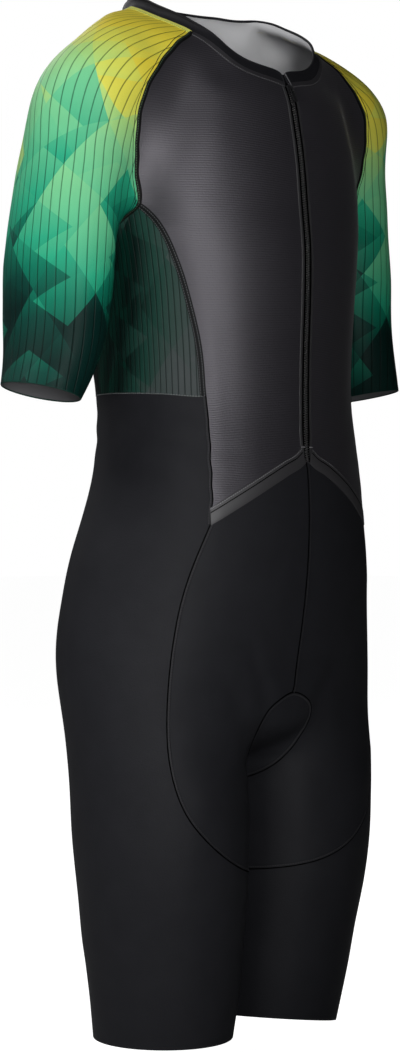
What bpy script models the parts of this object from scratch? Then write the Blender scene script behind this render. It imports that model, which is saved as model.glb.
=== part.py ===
"""Short-sleeved triathlon suit with raglan sleeves, a front zip and knee-length legs.

The suit keeps the round, hollow form it takes when worn.  Every sewn panel is one closed
wall of cloth.  All panels lie on one smooth worn form, which is the union of a torso, a
shoulder yoke, two arms and two legs, each given by a few horizontal sections.  Seams are
smooth curves on that form, and neighbouring panels share a seam's points, pulled 0.15 mm
back on each side.

Sizes in the tables are millimetres.  +Z is up, the front faces -Y, and the wearer's right
is -X, so the tables describe the right half and the left half is its mirror image.
"""
import math

import bmesh
import bpy
import numpy as np
from mathutils import Matrix, Vector

MM = 0.001

# ---------------------------------------------------------------- driving dimensions
CLOTH = 1.5                # thickness of the stretch knit, with its seams
SEAM_GAP = 0.3             # between neighbouring panels
BAND_CLOTH = 1.0           # folded hem band on top of the front panel
BAND_GAP = 0.3             # between the band and the panel under it
BAND_WIDTH = 12.0
COLLAR_HEIGHT = 11.0
ZIP_WIDTH = 5.2            # zip chain and the tape that shows beside it
ZIP_THICKNESS = 2.2
ZIP_PROUD = 0.4            # how far the chain stands out of the front panels
HEM_HEIGHT = -975.0        # leg hems, below the shoulders
SLIDER_HEIGHT = -79.0      # middle of the zip slider

# Number of quads along each run of the pattern.
FRONT_COLUMNS = 6
SIDE_COLUMNS = 6
BACK_COLUMNS = 6
SLEEVE_COLUMNS = 10
GUSSET_COLUMNS = 2
CROTCH_COLUMNS = 9
YOKE_ROWS = 7
RIB_ROWS = 7               # armpit to waist seam
FLAP_ROWS = 5              # waist seam to the point of the front hem
HIP_ROWS = 8               # point of the front hem to the crotch
THIGH_ROWS = 5             # crotch to the bottom of the front-inner panel
LEG_ROWS = 7               # from there to the hem
ARM_ROWS = 8               # armpit to cuff

# ---------------------------------------------------------------- the worn form
# height, half_width, half_depth, centre_y
TORSO_SECTIONS = (
    (60, 90, 86, 2),
    (0, 91, 86, 2),
    (-30, 96, 88, 4),
    (-61, 128, 90, 4),
    (-80, 138, 99, 3),
    (-110, 146, 108, 4),
    (-150, 150, 115, 4),
    (-190, 149, 119, 4),
    (-230, 143, 121, 2),
    (-270, 136, 117, -2),
    (-320, 131, 112, -5),
    (-372, 129, 107, -9),
    (-415, 136, 104, -13),
    (-450, 142, 107, -13),
    (-490, 150, 113, -8),
    (-530, 160, 117, -2),
    (-570, 168, 117, 3),
    (-610, 173, 113, 6),
    (-640, 170, 106, 5),
    (-662, 146, 103, 3),
    (-680, 96, 94, 2),
    (-695, 60, 72, 2),
    (-707, 30, 44, 2),
    (-714, 6, 12, 2),
)
TORSO_SQUARENESS = 2.25

# height, half_width, half_depth, centre_y: the sloping top of the shoulders
YOKE_SECTIONS = (
    (6, 60, 16, 40),
    (3, 84, 22, 36),
    (0, 102, 28, 31),
    (-6, 120, 35, 24),
    (-12, 134, 42, 16),
    (-20, 150, 50, 7),
    (-30, 166, 57, -1),
    (-44, 186, 63, -7),
    (-60, 200, 66, -8),
    (-80, 208, 66, -6),
    (-100, 208, 60, 1),
    (-130, 190, 44, 8),
    (-160, 140, 28, 10),
    (-180, 90, 12, 12),
)

# height, centre_x, centre_y, half_width, half_depth: one arm
ARM_SECTIONS = (
    (-42, 156, -5, 3, 4),
    (-50, 157, -6, 18, 24),
    (-60, 159, -6, 32, 40),
    (-80, 163, -3, 45, 51),
    (-104, 167, 3, 50, 57),
    (-140, 173, 9, 50, 58),
    (-170, 179, 12, 47, 60),
    (-200, 185, 14, 44, 60),
    (-242, 191, 16, 43, 61),
    (-270, 193, 16, 43, 59),
    (-299, 196, 15, 42, 57),
    (-324, 202, 12, 40, 53),
    (-353, 212, 9, 38, 46),
    (-370, 220, 8, 36, 42),
    (-400, 234, 6, 32, 36),
)

# height, centre_x, centre_y, half_width, half_depth: one leg
LEG_SECTIONS = (
    (-560, 92, 2, 30, 40),
    (-600, 92, 2, 66, 70),
    (-640, 91, 0, 80, 82),
    (-680, 90, -3, 84, 86),
    (-710, 89, -6, 83, 87),
    (-740, 88, -8, 83, 88),
    (-788, 86, -9, 81, 86),
    (-843, 82, -8, 78, 82),
    (-878, 79, -5, 75, 79),
    (-932, 75, -3, 70, 73),
    (-975, 73, 1, 65, 68),
    (-1000, 72, 2, 62, 66),
)

# height, blend radius between the torso and the arms, and between the torso and the legs
ARM_BLEND = ((0, 34), (-120, 34), (-180, 22), (-210, 8), (-230, 3), (-400, 3))
LEG_BLEND = ((-500, 30), (-680, 26), (-715, 12), (-740, 4), (-1000, 4))
YOKE_BLEND = 14.0


def smooth_rows(rows):
    """Height and value columns of a table with the slopes of a smooth curve through them."""
    table = np.array(rows, float)
    table = table[np.argsort(table[:, 0])]
    heights, values = table[:, 0], table[:, 1:]
    steps = np.diff(heights)[:, None]
    secants = np.diff(values, axis=0) / steps
    slopes = np.empty_like(values)
    slopes[0], slopes[-1] = secants[0], secants[-1]
    slopes[1:-1] = (secants[:-1] * steps[1:] + secants[1:] * steps[:-1]) / (steps[:-1] + steps[1:])
    return heights, values, slopes


def read_rows(smooth, height):
    """Values at the given heights; beyond the table's ends they stay as at the ends."""
    heights, values, slopes = smooth
    height = np.clip(height, heights[0], heights[-1])
    i = np.clip(np.searchsorted(heights, height) - 1, 0, len(heights) - 2)
    span = (heights[i + 1] - heights[i])[:, None]
    t = (height - heights[i])[:, None] / span
    a, b = values[i], values[i + 1]
    m, n = slopes[i] * span, slopes[i + 1] * span
    return (a * (1 + 2 * t) * (1 - t) ** 2 + m * t * (1 - t) ** 2
            + b * t * t * (3 - 2 * t) + n * t * t * (t - 1))


TORSO = smooth_rows(TORSO_SECTIONS)
YOKE = smooth_rows(YOKE_SECTIONS)
ARM = smooth_rows(ARM_SECTIONS)
LEG = smooth_rows(LEG_SECTIONS)


def oval(x, y, half_width, half_depth, squareness=2.0):
    """Roughly the distance outside an oval section, negative inside it."""
    half_width = np.maximum(half_width, 1.0)
    half_depth = np.maximum(half_depth, 1.0)
    reach = (np.abs(x / half_width) ** squareness + np.abs(y / half_depth) ** squareness)
    return (reach ** (1 / squareness) - 1) * np.sqrt(half_width * half_depth)


def fillet(first, second, radius):
    """How far a fillet of about the given radius fills the corner between two forms."""
    overlap = np.clip(radius - np.abs(first - second), 0, None) / radius
    return overlap ** 2 * radius / 4


def blend(first, second, radius):
    """The union of two forms with a fillet between them."""
    return np.minimum(first, second) - fillet(first, second, radius)


def outside(points, limb=None):
    """Roughly how far each point lies outside the worn form, negative inside it.

    With a limb, "arm" or "trunk", the surface of that limb goes on where it meets the other.
    """
    x, y, z = np.abs(points[:, 0]), points[:, 1], points[:, 2]
    torso = read_rows(TORSO, z)
    yoke = read_rows(YOKE, z)
    arm = read_rows(ARM, z)
    leg = read_rows(LEG, z)
    body = oval(x, y - torso[:, 2], torso[:, 0], torso[:, 1], TORSO_SQUARENESS)
    shoulders = oval(x, y - yoke[:, 2], yoke[:, 0], yoke[:, 1])
    arms = oval(x - arm[:, 0], y - arm[:, 1], arm[:, 2], arm[:, 3])
    legs = oval(x - leg[:, 0], y - leg[:, 1], leg[:, 2], leg[:, 3])
    arm_radius = np.interp(-z, [-h for h, _ in ARM_BLEND], [r for _, r in ARM_BLEND])
    leg_radius = np.interp(-z, [-h for h, _ in LEG_BLEND], [r for _, r in LEG_BLEND])
    body += np.clip(TORSO_SECTIONS[-1][0] - z, 0, None)
    shoulders += np.clip(z - YOKE_SECTIONS[0][0], 0, None)
    shoulders += np.clip(YOKE_SECTIONS[-1][0] - z, 0, None)
    arms += np.clip(z - ARM_SECTIONS[0][0], 0, None)
    legs += np.clip(z - LEG_SECTIONS[0][0], 0, None)
    trunk = blend(body, shoulders, YOKE_BLEND)
    if limb == "arm":
        return arms - fillet(trunk, arms, arm_radius)
    if limb == "trunk":
        return trunk - fillet(trunk, arms, arm_radius)
    return blend(blend(trunk, arms, arm_radius), legs, leg_radius)


def slope_at(points, step=0.25, limb=None):
    """Gradient of outside() by central differences."""
    slope = np.empty_like(points)
    for axis in range(3):
        shift = np.zeros(3)
        shift[axis] = step
        rise = outside(points + shift, limb) - outside(points - shift, limb)
        slope[:, axis] = rise / (2 * step)
    return slope


def settle(points, rounds=10, lock=None, limb=None):
    """Move points onto the worn form; an axis named by lock keeps its coordinate."""
    points = np.array(points, float)
    for _ in range(rounds):
        slope = slope_at(points, limb=limb)
        if lock is not None:
            slope[:, lock] = 0
        steepness = np.maximum((slope ** 2).sum(axis=1), 0.02)
        step = outside(points, limb) / steepness
        points -= np.clip(step, -12, 12)[:, None] * slope
    return points


def outward(points):
    """Unit normals of the worn form, pointing out of it."""
    slope = slope_at(points, step=1.5)
    return slope / np.linalg.norm(slope, axis=1)[:, None]


# ---------------------------------------------------------------- seam curves
def curve(stations, segments, lock=None, limb=None):
    """A smooth curve on the form through a few stations, cut into even segments."""
    knots = np.array(stations, float)
    for _ in range(4):
        fine = spline(knots, 12 * segments)
        travelled = np.r_[0, np.cumsum(np.linalg.norm(np.diff(fine, axis=0), axis=1))]
        even = np.linspace(0, travelled[-1], segments + 1)
        points = np.stack([np.interp(even, travelled, fine[:, k]) for k in range(3)], axis=1)
        points = settle(points, lock=lock, limb=limb)
        knots = points
    return points


def spline(knots, count):
    """Points of a Catmull-Rom spline through the knots, with chord-length spacing."""
    if len(knots) == 2:
        return np.linspace(knots[0], knots[1], count + 1)
    chords = np.linalg.norm(np.diff(knots, axis=0), axis=1)
    rows = np.c_[np.r_[0, np.cumsum(chords)], knots]
    return read_rows(smooth_rows(rows), np.linspace(0, rows[-1, 0], count + 1))


def ring_arc(table, height, start_angle, end_angle, segments, tilt=(0.0, 0.0)):
    """An arc of the cut end of an arm or a leg, on a plane that may lean in X and Y."""
    section = read_rows(table, np.array([float(height)]))[0]
    centre = np.array([-section[0], section[1], height])
    angles = np.radians(np.linspace(start_angle, end_angle, segments + 1))
    points = centre + np.stack([-section[2] * np.cos(angles), section[3] * np.sin(angles),
                                np.zeros_like(angles)], axis=1)
    for _ in range(6):
        points = settle(points, rounds=2)
        lean = (points[:, 0] - centre[0]) * tilt[0] + (points[:, 1] - centre[1]) * tilt[1]
        points[:, 2] = height + lean
    return points


def join(*curves):
    """Curves end to end as one, without repeating the shared points."""
    points = curves[0]
    for following in curves[1:]:
        points = np.vstack([points, following[1:]])
    return points


def patch(top, bottom, left, right, limb=None, relaxations=40):
    """A grid of points between four curves; top and bottom run from left to right."""
    rows, columns = len(left), len(top)
    u = np.linspace(0, 1, columns)[None, :, None]
    v = np.linspace(0, 1, rows)[:, None, None]
    across = (1 - v) * top[None] + v * bottom[None]
    down = (1 - u) * left[:, None] + u * right[:, None]
    corners = ((1 - u) * (1 - v) * top[0] + u * (1 - v) * top[-1]
               + (1 - u) * v * bottom[0] + u * v * bottom[-1])
    grid = across + down - corners
    grid[0], grid[-1], grid[:, 0], grid[:, -1] = top, bottom, left, right
    inner = (rows - 2, columns - 2, 3)
    if min(inner) > 0:
        grid[1:-1, 1:-1] = settle(grid[1:-1, 1:-1].reshape(-1, 3), 14, limb=limb).reshape(inner)
        for _ in range(relaxations):
            middle = (grid[:-2, 1:-1] + grid[2:, 1:-1] + grid[1:-1, :-2] + grid[1:-1, 2:]) / 4
            grid[1:-1, 1:-1] = settle(middle.reshape(-1, 3), 2, limb=limb).reshape(inner)
        grid[1:-1, 1:-1] = settle(grid[1:-1, 1:-1].reshape(-1, 3), 6, limb=limb).reshape(inner)
    return grid


# Where the right-hand seams start, meet and end.  Columns: x, y, z.
NECK_FRONT = (0, -93, -71)
NECK_RAGLAN_FRONT = (-84, -50, -31)
NECK_RAGLAN_BACK = (-66, 66, 9)
NECK_BACK = (0, 90, 12)
ARMPIT_FRONT = (-147, -46, -196)
ARMPIT_BACK = (-147, 60, -196)
WAIST_FRONT = (-98, -82, -371)
WAIST_BACK = (-98, 72, -366)
WAIST_CENTRE_BACK = (0, 98, -364)
HEM_CENTRE = (0, -118, -432)
HEM_POINT = (-103, -93, -489)
CROTCH_FRONT = (0, -101, -646)
CROTCH_BACK = (0, 100, -645)
GUSSET_FRONT = (-30, -100, -660)
GUSSET_BACK = (-34, 94, -662)
THIGH_SEAM = (-135, -67, -664)
THIGH_CORNER = (-124, -82, -756)
INNER_FRONT = (-50, -82, -814)
INNER_BACK = (-48, 66, -812)
ZIP_EDGE = -ZIP_WIDTH / 2 - SEAM_GAP / 2

NECK_FRONT_LINE = (NECK_FRONT, (-48, -82, -61), NECK_RAGLAN_FRONT)
NECK_SLEEVE_LINE = (NECK_RAGLAN_FRONT, (-94, -22, -16), (-93, 6, -6), (-85, 36, 2),
                    NECK_RAGLAN_BACK)
NECK_BACK_LINE = (NECK_RAGLAN_BACK, (-35, 84, 11), NECK_BACK)
RAGLAN_FRONT_LINE = (NECK_RAGLAN_FRONT, (-124, -54, -59), (-145, -57, -80), (-154, -58, -109),
                     (-154, -56, -140), (-150, -50, -170), ARMPIT_FRONT)
RAGLAN_BACK_LINE = (NECK_RAGLAN_BACK, (-110, 72, -40), (-144, 72, -88), (-155, 70, -135),
                    ARMPIT_BACK)
UNDERARM_LINE = (ARMPIT_FRONT, (-148, -18, -212), (-148, 12, -218), (-148, 38, -212), ARMPIT_BACK)
SHOULDER_LINE = (ARMPIT_FRONT, (-178, -50, -176), (-214, -28, -160), (-232, 14, -154),
                 (-212, 58, -160), (-178, 72, -176), ARMPIT_BACK)
SIDE_FRONT_LINE = (ARMPIT_FRONT, (-135, -59, -212), (-124, -68, -238), (-112, -76, -281),
                   (-103, -82, -327), WAIST_FRONT)
SIDE_BACK_LINE = (ARMPIT_BACK, (-128, 76, -240), (-110, 80, -300), WAIST_BACK)
WAIST_SIDE_LINE = (WAIST_FRONT, (-124, -40, -368), (-130, 0, -366), (-120, 42, -366), WAIST_BACK)
WAIST_BACK_LINE = (WAIST_BACK, (-60, 92, -365), WAIST_CENTRE_BACK)
FLAP_SIDE_LINE = (WAIST_FRONT, (-98, -88, -410), (-98, -91, -447), (-100, -93, -474), HEM_POINT)
HEM_LINE = (HEM_CENTRE, (-12, -118, -434), (-60, -112, -459), HEM_POINT)
THIGH_SEAM_LINE = (HEM_POINT, (-113, -89, -513), (-121, -80, -543), (-129, -70, -596), THIGH_SEAM)
THIGH_TURN_LINE = (THIGH_SEAM, (-139, -72, -704), THIGH_CORNER)
THIGH_BOTTOM_LINE = (THIGH_CORNER, (-112, -86, -774), (-92, -89, -793), (-70, -87, -808),
                     INNER_FRONT)
INNER_BOTTOM_LINE = (INNER_FRONT, (-14, -44, -820), (-6, -4, -822), (-16, 38, -818), INNER_BACK)
INNER_BACK_LINE = (GUSSET_BACK, (-52, 92, -700), (-56, 80, -760), INNER_BACK)
INNER_FRONT_LINE = (GUSSET_FRONT, (-52, -94, -700), (-58, -90, -760), INNER_FRONT)
THIGH_FRONT_LINE = (GUSSET_FRONT, (-84, -92, -662), THIGH_SEAM)
THIGH_BACK_LINE = (THIGH_SEAM, (-172, 0, -660), (-130, 82, -660), (-80, 98, -660), GUSSET_BACK)
LEG_BACK_LINE = (THIGH_CORNER, (-166, -10, -770), (-140, 55, -790), (-90, 78, -804), INNER_BACK)
CENTRE_FRONT_LINE = (HEM_CENTRE, (0, -125, -480), (0, -113, -578), CROTCH_FRONT)
ZIP_LINE = ((ZIP_EDGE, -93, -71), (ZIP_EDGE, -105, -108), (ZIP_EDGE, -117, -190),
            (ZIP_EDGE, -118, -300), (ZIP_EDGE, -118, -432))
CENTRE_BACK_UPPER_LINE = (NECK_BACK, (0, 110, -100), (0, 122, -200), (0, 110, -300),
                          WAIST_CENTRE_BACK)
CENTRE_BACK_LOWER_LINE = (WAIST_CENTRE_BACK, (0, 100, -450), (0, 118, -550), CROTCH_BACK)
CROTCH_LINE = (CROTCH_FRONT, (0, -88, -676), (0, -50, -702), (0, 0, -714), (0, 50, -702),
               (0, 86, -676), CROTCH_BACK)
GUSSET_LINE = (GUSSET_FRONT, (-35, -91, -685), (-30, -70, -710), (-16, -42, -730),
               (-7, -5, -740), (-12, 34, -733), (-24, 62, -713), (-30, 82, -689), GUSSET_BACK)

# Cut ends on each side: height, and the height gained per length in x and in y.
CUFFS = {"right": (-368, -0.26, 0.05), "left": (-359, -0.085, -0.135)}
LEG_HEM_LEANS = {"right": (0.0, 0.0), "left": (0.15, -0.06)}
CUFF_FRONT_ANGLE = -118
CUFF_BACK_ANGLE = 118
LEG_ANGLES = {"corner": -52, "front": -125, "back": 125}

# ---------------------------------------------------------------- the pattern, right half
def seam_network(side):
    """Every seam and edge curve of the right half, by name; side sets the cuff's lean."""
    yoke_and_ribs = YOKE_ROWS + RIB_ROWS
    net = {
        "neck_front": curve(NECK_FRONT_LINE, FRONT_COLUMNS),
        "neck_sleeve": curve(NECK_SLEEVE_LINE, SLEEVE_COLUMNS),
        "neck_back": curve(NECK_BACK_LINE, BACK_COLUMNS),
        "raglan_front": curve(RAGLAN_FRONT_LINE, YOKE_ROWS),
        "raglan_back": curve(RAGLAN_BACK_LINE, YOKE_ROWS),
        "underarm": curve(UNDERARM_LINE, SIDE_COLUMNS),
        "shoulder": curve(SHOULDER_LINE, SLEEVE_COLUMNS),
        "side_front": curve(SIDE_FRONT_LINE, RIB_ROWS),
        "side_back": curve(SIDE_BACK_LINE, RIB_ROWS),
        "waist_side": curve(WAIST_SIDE_LINE, SIDE_COLUMNS),
        "waist_back": curve(WAIST_BACK_LINE, BACK_COLUMNS),
        "flap_side": curve(FLAP_SIDE_LINE, FLAP_ROWS),
        "hem": curve(HEM_LINE, FRONT_COLUMNS),
        "thigh_seam": curve(THIGH_SEAM_LINE, HIP_ROWS),
        "thigh_turn": curve(THIGH_TURN_LINE, THIGH_ROWS),
        "thigh_bottom": curve(THIGH_BOTTOM_LINE, FRONT_COLUMNS - GUSSET_COLUMNS),
        "inner_bottom": curve(INNER_BOTTOM_LINE, CROTCH_COLUMNS),
        "inner_front": curve(INNER_FRONT_LINE, THIGH_ROWS),
        "inner_back": curve(INNER_BACK_LINE, THIGH_ROWS),
        "thigh_front": curve(THIGH_FRONT_LINE, FRONT_COLUMNS - GUSSET_COLUMNS)[::-1],
        "thigh_back": curve(THIGH_BACK_LINE, SIDE_COLUMNS + BACK_COLUMNS - GUSSET_COLUMNS),
        "leg_back": curve(LEG_BACK_LINE, SIDE_COLUMNS + BACK_COLUMNS - GUSSET_COLUMNS),
        "centre_front": curve(CENTRE_FRONT_LINE, HIP_ROWS, lock=0),
        "centre_back_upper": curve(CENTRE_BACK_UPPER_LINE, yoke_and_ribs, lock=0),
        "centre_back_lower": curve(CENTRE_BACK_LOWER_LINE, FLAP_ROWS + HIP_ROWS, lock=0),
        "crotch": curve(CROTCH_LINE, CROTCH_COLUMNS, lock=0),
        "gusset_side": curve(GUSSET_LINE, CROTCH_COLUMNS),
        "gusset_front_end": curve((CROTCH_FRONT, (-18, -100, -650), GUSSET_FRONT), GUSSET_COLUMNS),
        "gusset_back_end": curve((CROTCH_BACK, (-18, 98, -649), GUSSET_BACK), GUSSET_COLUMNS),
    }
    weld_ends(net)
    net["zip_edge"] = curve(ZIP_LINE, yoke_and_ribs + FLAP_ROWS, lock=0)
    cuff, *lean = CUFFS[side]
    net["cuff_over"] = ring_arc(ARM, cuff, CUFF_FRONT_ANGLE, CUFF_BACK_ANGLE,
                                SLEEVE_COLUMNS, lean)
    net["cuff_under"] = ring_arc(ARM, cuff, CUFF_FRONT_ANGLE, CUFF_BACK_ANGLE - 360,
                                 SIDE_COLUMNS, lean)
    net["cuff_under"][[0, -1]] = net["cuff_over"][[0, -1]]
    corner, front, back = LEG_ANGLES["corner"], LEG_ANGLES["front"], LEG_ANGLES["back"]
    lean = LEG_HEM_LEANS[side]
    net["hem_back"] = ring_arc(LEG, HEM_HEIGHT, corner, back,
                               SIDE_COLUMNS + BACK_COLUMNS - GUSSET_COLUMNS, lean)
    net["hem_front"] = ring_arc(LEG, HEM_HEIGHT, corner, front,
                                FRONT_COLUMNS - GUSSET_COLUMNS, lean)
    net["hem_inner"] = ring_arc(LEG, HEM_HEIGHT, front, back - 360, CROTCH_COLUMNS, lean)
    net["hem_front"][0] = net["hem_back"][0]
    net["hem_inner"][0] = net["hem_front"][-1]
    net["hem_inner"][-1] = net["hem_back"][-1]
    for name, start, end, rows, limb in (
            ("arm_front", net["raglan_front"][-1], net["cuff_over"][0], ARM_ROWS, "arm"),
            ("arm_back", net["raglan_back"][-1], net["cuff_over"][-1], ARM_ROWS, "arm"),
            ("shin_corner", net["thigh_turn"][-1], net["hem_back"][0], LEG_ROWS, None),
            ("shin_front", net["inner_front"][-1], net["hem_front"][-1], LEG_ROWS, None),
            ("shin_back", net["inner_back"][-1], net["hem_back"][-1], LEG_ROWS, None)):
        run = curve((start, end), rows, limb=limb)
        run[0], run[-1] = start, end
        net[name] = run
    return net


def weld_ends(net):
    """Give the curves that meet at one station exactly the same end point."""
    stations = []
    for points in net.values():
        for end in (0, -1):
            for station in stations:
                if np.linalg.norm(points[end] - station) < 4.0:
                    points[end] = station
                    break
            else:
                stations.append(points[end].copy())


def mirrored(points):
    """The same points on the other side of the suit."""
    return points * np.array([-1.0, 1.0, 1.0])


def half_patches(side):
    """The grids of points that make up one half of every panel, by panel name."""
    net = seam_network(side)
    front_side = join(net["raglan_front"], net["side_front"], net["flap_side"])
    neck_front = net["neck_front"].copy()
    hem = net["hem"].copy()
    zip_edge = net["zip_edge"]
    neck_front[0], hem[0] = zip_edge[0], zip_edge[-1]
    under = net["hem"].copy()
    under[0] = net["centre_front"][0]
    patches = {
        "front": [patch(neck_front, hem, zip_edge, front_side)],
        "side": [patch(net["underarm"], net["waist_side"], net["side_front"], net["side_back"],
                       limb="trunk")],
        "back": [patch(net["neck_back"], net["waist_back"],
                       join(net["raglan_back"], net["side_back"]),
                       net["centre_back_upper"])],
        "sleeve": [patch(net["neck_sleeve"], net["shoulder"], net["raglan_front"],
                         net["raglan_back"]),
                   patch(net["shoulder"], net["cuff_over"], net["arm_front"], net["arm_back"]),
                   patch(net["underarm"], net["cuff_under"], net["arm_front"],
                         net["arm_back"], limb="arm")[:, ::-1]],
        "hip": [patch(join(net["waist_side"], net["waist_back"]),
                      join(net["thigh_back"], net["gusset_back_end"][::-1]),
                      join(net["flap_side"], net["thigh_seam"]),
                      net["centre_back_lower"]),
                patch(net["thigh_back"], net["leg_back"], net["thigh_turn"], net["inner_back"]),
                patch(net["leg_back"], net["hem_back"], net["shin_corner"], net["shin_back"]),
                patch(net["thigh_bottom"], net["hem_front"], net["shin_corner"],
                      net["shin_front"])[:, ::-1],
                patch(net["inner_bottom"], net["hem_inner"], net["shin_front"],
                      net["shin_back"])[:, ::-1]],
        "thigh": [patch(under, join(net["gusset_front_end"], net["thigh_front"][::-1]),
                        net["centre_front"], net["thigh_seam"]),
                  patch(net["thigh_front"][::-1], net["thigh_bottom"][::-1],
                        net["inner_front"], net["thigh_turn"]),
                  patch(net["gusset_side"], net["inner_bottom"], net["inner_front"],
                        net["inner_back"])[:, ::-1]],
        "gusset": [patch(net["crotch"], net["gusset_side"], net["gusset_front_end"],
                         net["gusset_back_end"])[:, ::-1]],
    }
    return patches, net


# ---------------------------------------------------------------- cloth walls
def welded(grids):
    """Points and outward quads of grids that share their edge points."""
    index, points, quads = {}, [], []
    for grid in grids:
        rows, columns = grid.shape[:2]
        numbers = np.empty((rows, columns), int)
        for place in np.ndindex(rows, columns):
            key = tuple(np.round(grid[place], 2) + 0.0)
            if key not in index:
                index[key] = len(points)
                points.append(grid[place])
            numbers[place] = index[key]
        across, down = grid[:-1, 1:] - grid[1:, :-1], grid[1:, 1:] - grid[:-1, :-1]
        faces = np.cross(down, across).reshape(-1, 3)
        leaning = (faces * outward(grid[:-1, :-1].reshape(-1, 3))).sum()
        for row in range(rows - 1):
            for column in range(columns - 1):
                quad = (numbers[row, column], numbers[row, column + 1],
                        numbers[row + 1, column + 1], numbers[row + 1, column])
                quads.append(quad[::-1] if leaning > 0 else quad)
    return np.array(points), quads


def open_edges(quads):
    """Directed edges that only one quad uses."""
    used = {(quad[i], quad[(i + 1) % 4]) for quad in quads for i in range(4)}
    return [edge for edge in used if edge[::-1] not in used]


def pulled_back(points, quads, normals, distance):
    """Points with every open edge moved into the panel by the given distance.

    Where the wall twists along its edge, it moves further, so that the gap stays open.
    """
    inward, twist = {}, {}
    for start, end in open_edges(quads):
        turn = (normals[start] @ normals[end]
                / np.linalg.norm(normals[start]) / np.linalg.norm(normals[end]))
        for number in (start, end):
            across = np.cross(normals[number], points[end] - points[start])
            inward.setdefault(number, []).append(across / np.linalg.norm(across))
            twist[number] = min(twist.get(number, 1.0), max(turn, 0.3))
    moved = points.copy()
    for number, (first, second) in inward.items():
        corner = (first + second) / max(1 + first @ second, 0.35)
        moved[number] += distance / twist[number] * corner
    return moved


SPLIT_DIRECTION = np.array([0.13, 0.31, 1.0])


def wall(points, quads, normals, top, bottom):
    """Vertices and triangles of a closed wall between two heights along the normals."""
    count = len(points)
    vertices = np.vstack([points + normals * top, points + normals * bottom])
    faces = []
    for a, b, c, d in quads:
        short = np.linalg.norm(points[a] - points[c]) < np.linalg.norm(points[b] - points[d])
        halves = ((a, b, c), (a, c, d)) if short else ((a, b, d), (b, c, d))
        faces.extend(halves)
        faces.extend(tuple(number + count for number in half[::-1]) for half in halves)
    for start, end in open_edges(quads):
        # Panels on both sides of a seam split its walls along the same diagonals.
        if (points[end] - points[start]) @ SPLIT_DIRECTION > 0:
            faces.append((end, start, start + count))
            faces.append((end, start + count, end + count))
        else:
            faces.append((end, start, end + count))
            faces.append((start, start + count, end + count))
    return vertices, faces


def new_material(name, colour, roughness, metallic=0.0):
    """A Principled material."""
    material = bpy.data.materials.new(name)
    material.use_nodes = True
    shader = material.node_tree.nodes["Principled BSDF"]
    shader.inputs["Base Color"].default_value = (*colour, 1.0)
    shader.inputs["Roughness"].default_value = roughness
    shader.inputs["Metallic"].default_value = metallic
    return material


def new_object(name, vertices, faces, material, smooth=True):
    """An object in the scene from millimetre points."""
    mesh = bpy.data.meshes.new(name)
    mesh.from_pydata((np.asarray(vertices) * MM).tolist(), [], [tuple(map(int, f)) for f in faces])
    mesh.materials.append(material)
    if smooth:
        mesh.shade_smooth()
        mesh.set_sharp_from_angle(angle=math.radians(50))
    piece = bpy.data.objects.new(name, mesh)
    bpy.context.scene.collection.objects.link(piece)
    return piece


def cloth_panel(name, grids, material, form, collar, top=0.0, bottom=-CLOTH):
    """A sewn panel: a closed wall of cloth, pulled back half a seam gap at its edges."""
    points, quads = welded(grids)
    normals = wall_directions(points, form, collar)
    points = pulled_back(points, quads, normals, SEAM_GAP / 2)
    return new_object(name, *wall(points, quads, normals, top, bottom), material)


# ---------------------------------------------------------------- collar, band and zip
NECK_AXIS = np.array([0.0, 2.0, 0.0])
COLLAR_LEAN = math.radians(28)     # the collar closes in towards the neck


def collar_inward(points):
    """Horizontal directions towards the middle of the neck."""
    inward = (NECK_AXIS - points) * np.array([1.0, 1.0, 0.0])
    return inward / np.linalg.norm(inward, axis=1)[:, None]


def collar_rise(points):
    """The way from the neck seam to the collar's rim, as unit vectors."""
    up = np.array([0.0, 0.0, 1.0])
    return collar_inward(points) * math.sin(COLLAR_LEAN) + up * math.cos(COLLAR_LEAN)


def collar_normals(points):
    """Outward normals of the leaning collar."""
    up = np.array([0.0, 0.0, 1.0])
    return up * math.sin(COLLAR_LEAN) - collar_inward(points) * math.cos(COLLAR_LEAN)


def collar_grid(net):
    """The collar from end to end round the back, as its rim and its neck seam."""
    neck_front = net["neck_front"].copy()
    neck_front[0] = net["zip_edge"][0]
    right = join(neck_front, net["neck_sleeve"], net["neck_back"])
    seam = join(right, mirrored(right)[::-1])
    rim = seam + collar_rise(seam) * COLLAR_HEIGHT
    ends = [0, len(right) - 1, -1]
    rim[ends, 0] = seam[ends, 0]
    return np.stack([rim, seam])


def faceted_normals(grids):
    """Points of welded grids with unit normals, weighted by the angle of each corner."""
    points, quads = welded(grids)
    normals = np.zeros_like(points)
    for quad in quads:
        for place, number in enumerate(quad):
            ahead = points[quad[(place + 1) % 4]] - points[number]
            behind = points[quad[place - 1]] - points[number]
            face = np.cross(ahead, behind)
            size = np.linalg.norm(face)
            normals[number] += face / size * math.atan2(size, ahead @ behind)
    return points, normals / np.linalg.norm(normals, axis=1)[:, None]


def wall_directions(points, form, collar):
    """Outward directions of a wall, as long as its thickness of 1 calls for.

    Where the collar bends away from the panels below it, both share a mitred direction.
    """
    rim, seam = collar
    form_points, form_normals = form
    directions = outward(points)
    nearest = np.linalg.norm(points[:, None] - form_points[None], axis=2)
    on_form = nearest.min(axis=1) < 0.1
    directions[on_form] = form_normals[nearest.argmin(axis=1)[on_form]]
    bend = collar_normals(points)
    at_rim = distance_to(points, rim) < 0.1
    at_seam = distance_to(points, seam) < 0.1
    cosine = (directions * bend).sum(axis=1)[:, None]
    mitre = (directions + bend) / (1 + cosine)
    directions[at_seam] = mitre[at_seam]
    directions[at_rim] = bend[at_rim]
    return directions


def distance_to(points, others):
    """Distance from each point to the nearest of the others."""
    return np.linalg.norm(points[:, None] - others[None], axis=2).min(axis=1)


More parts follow.
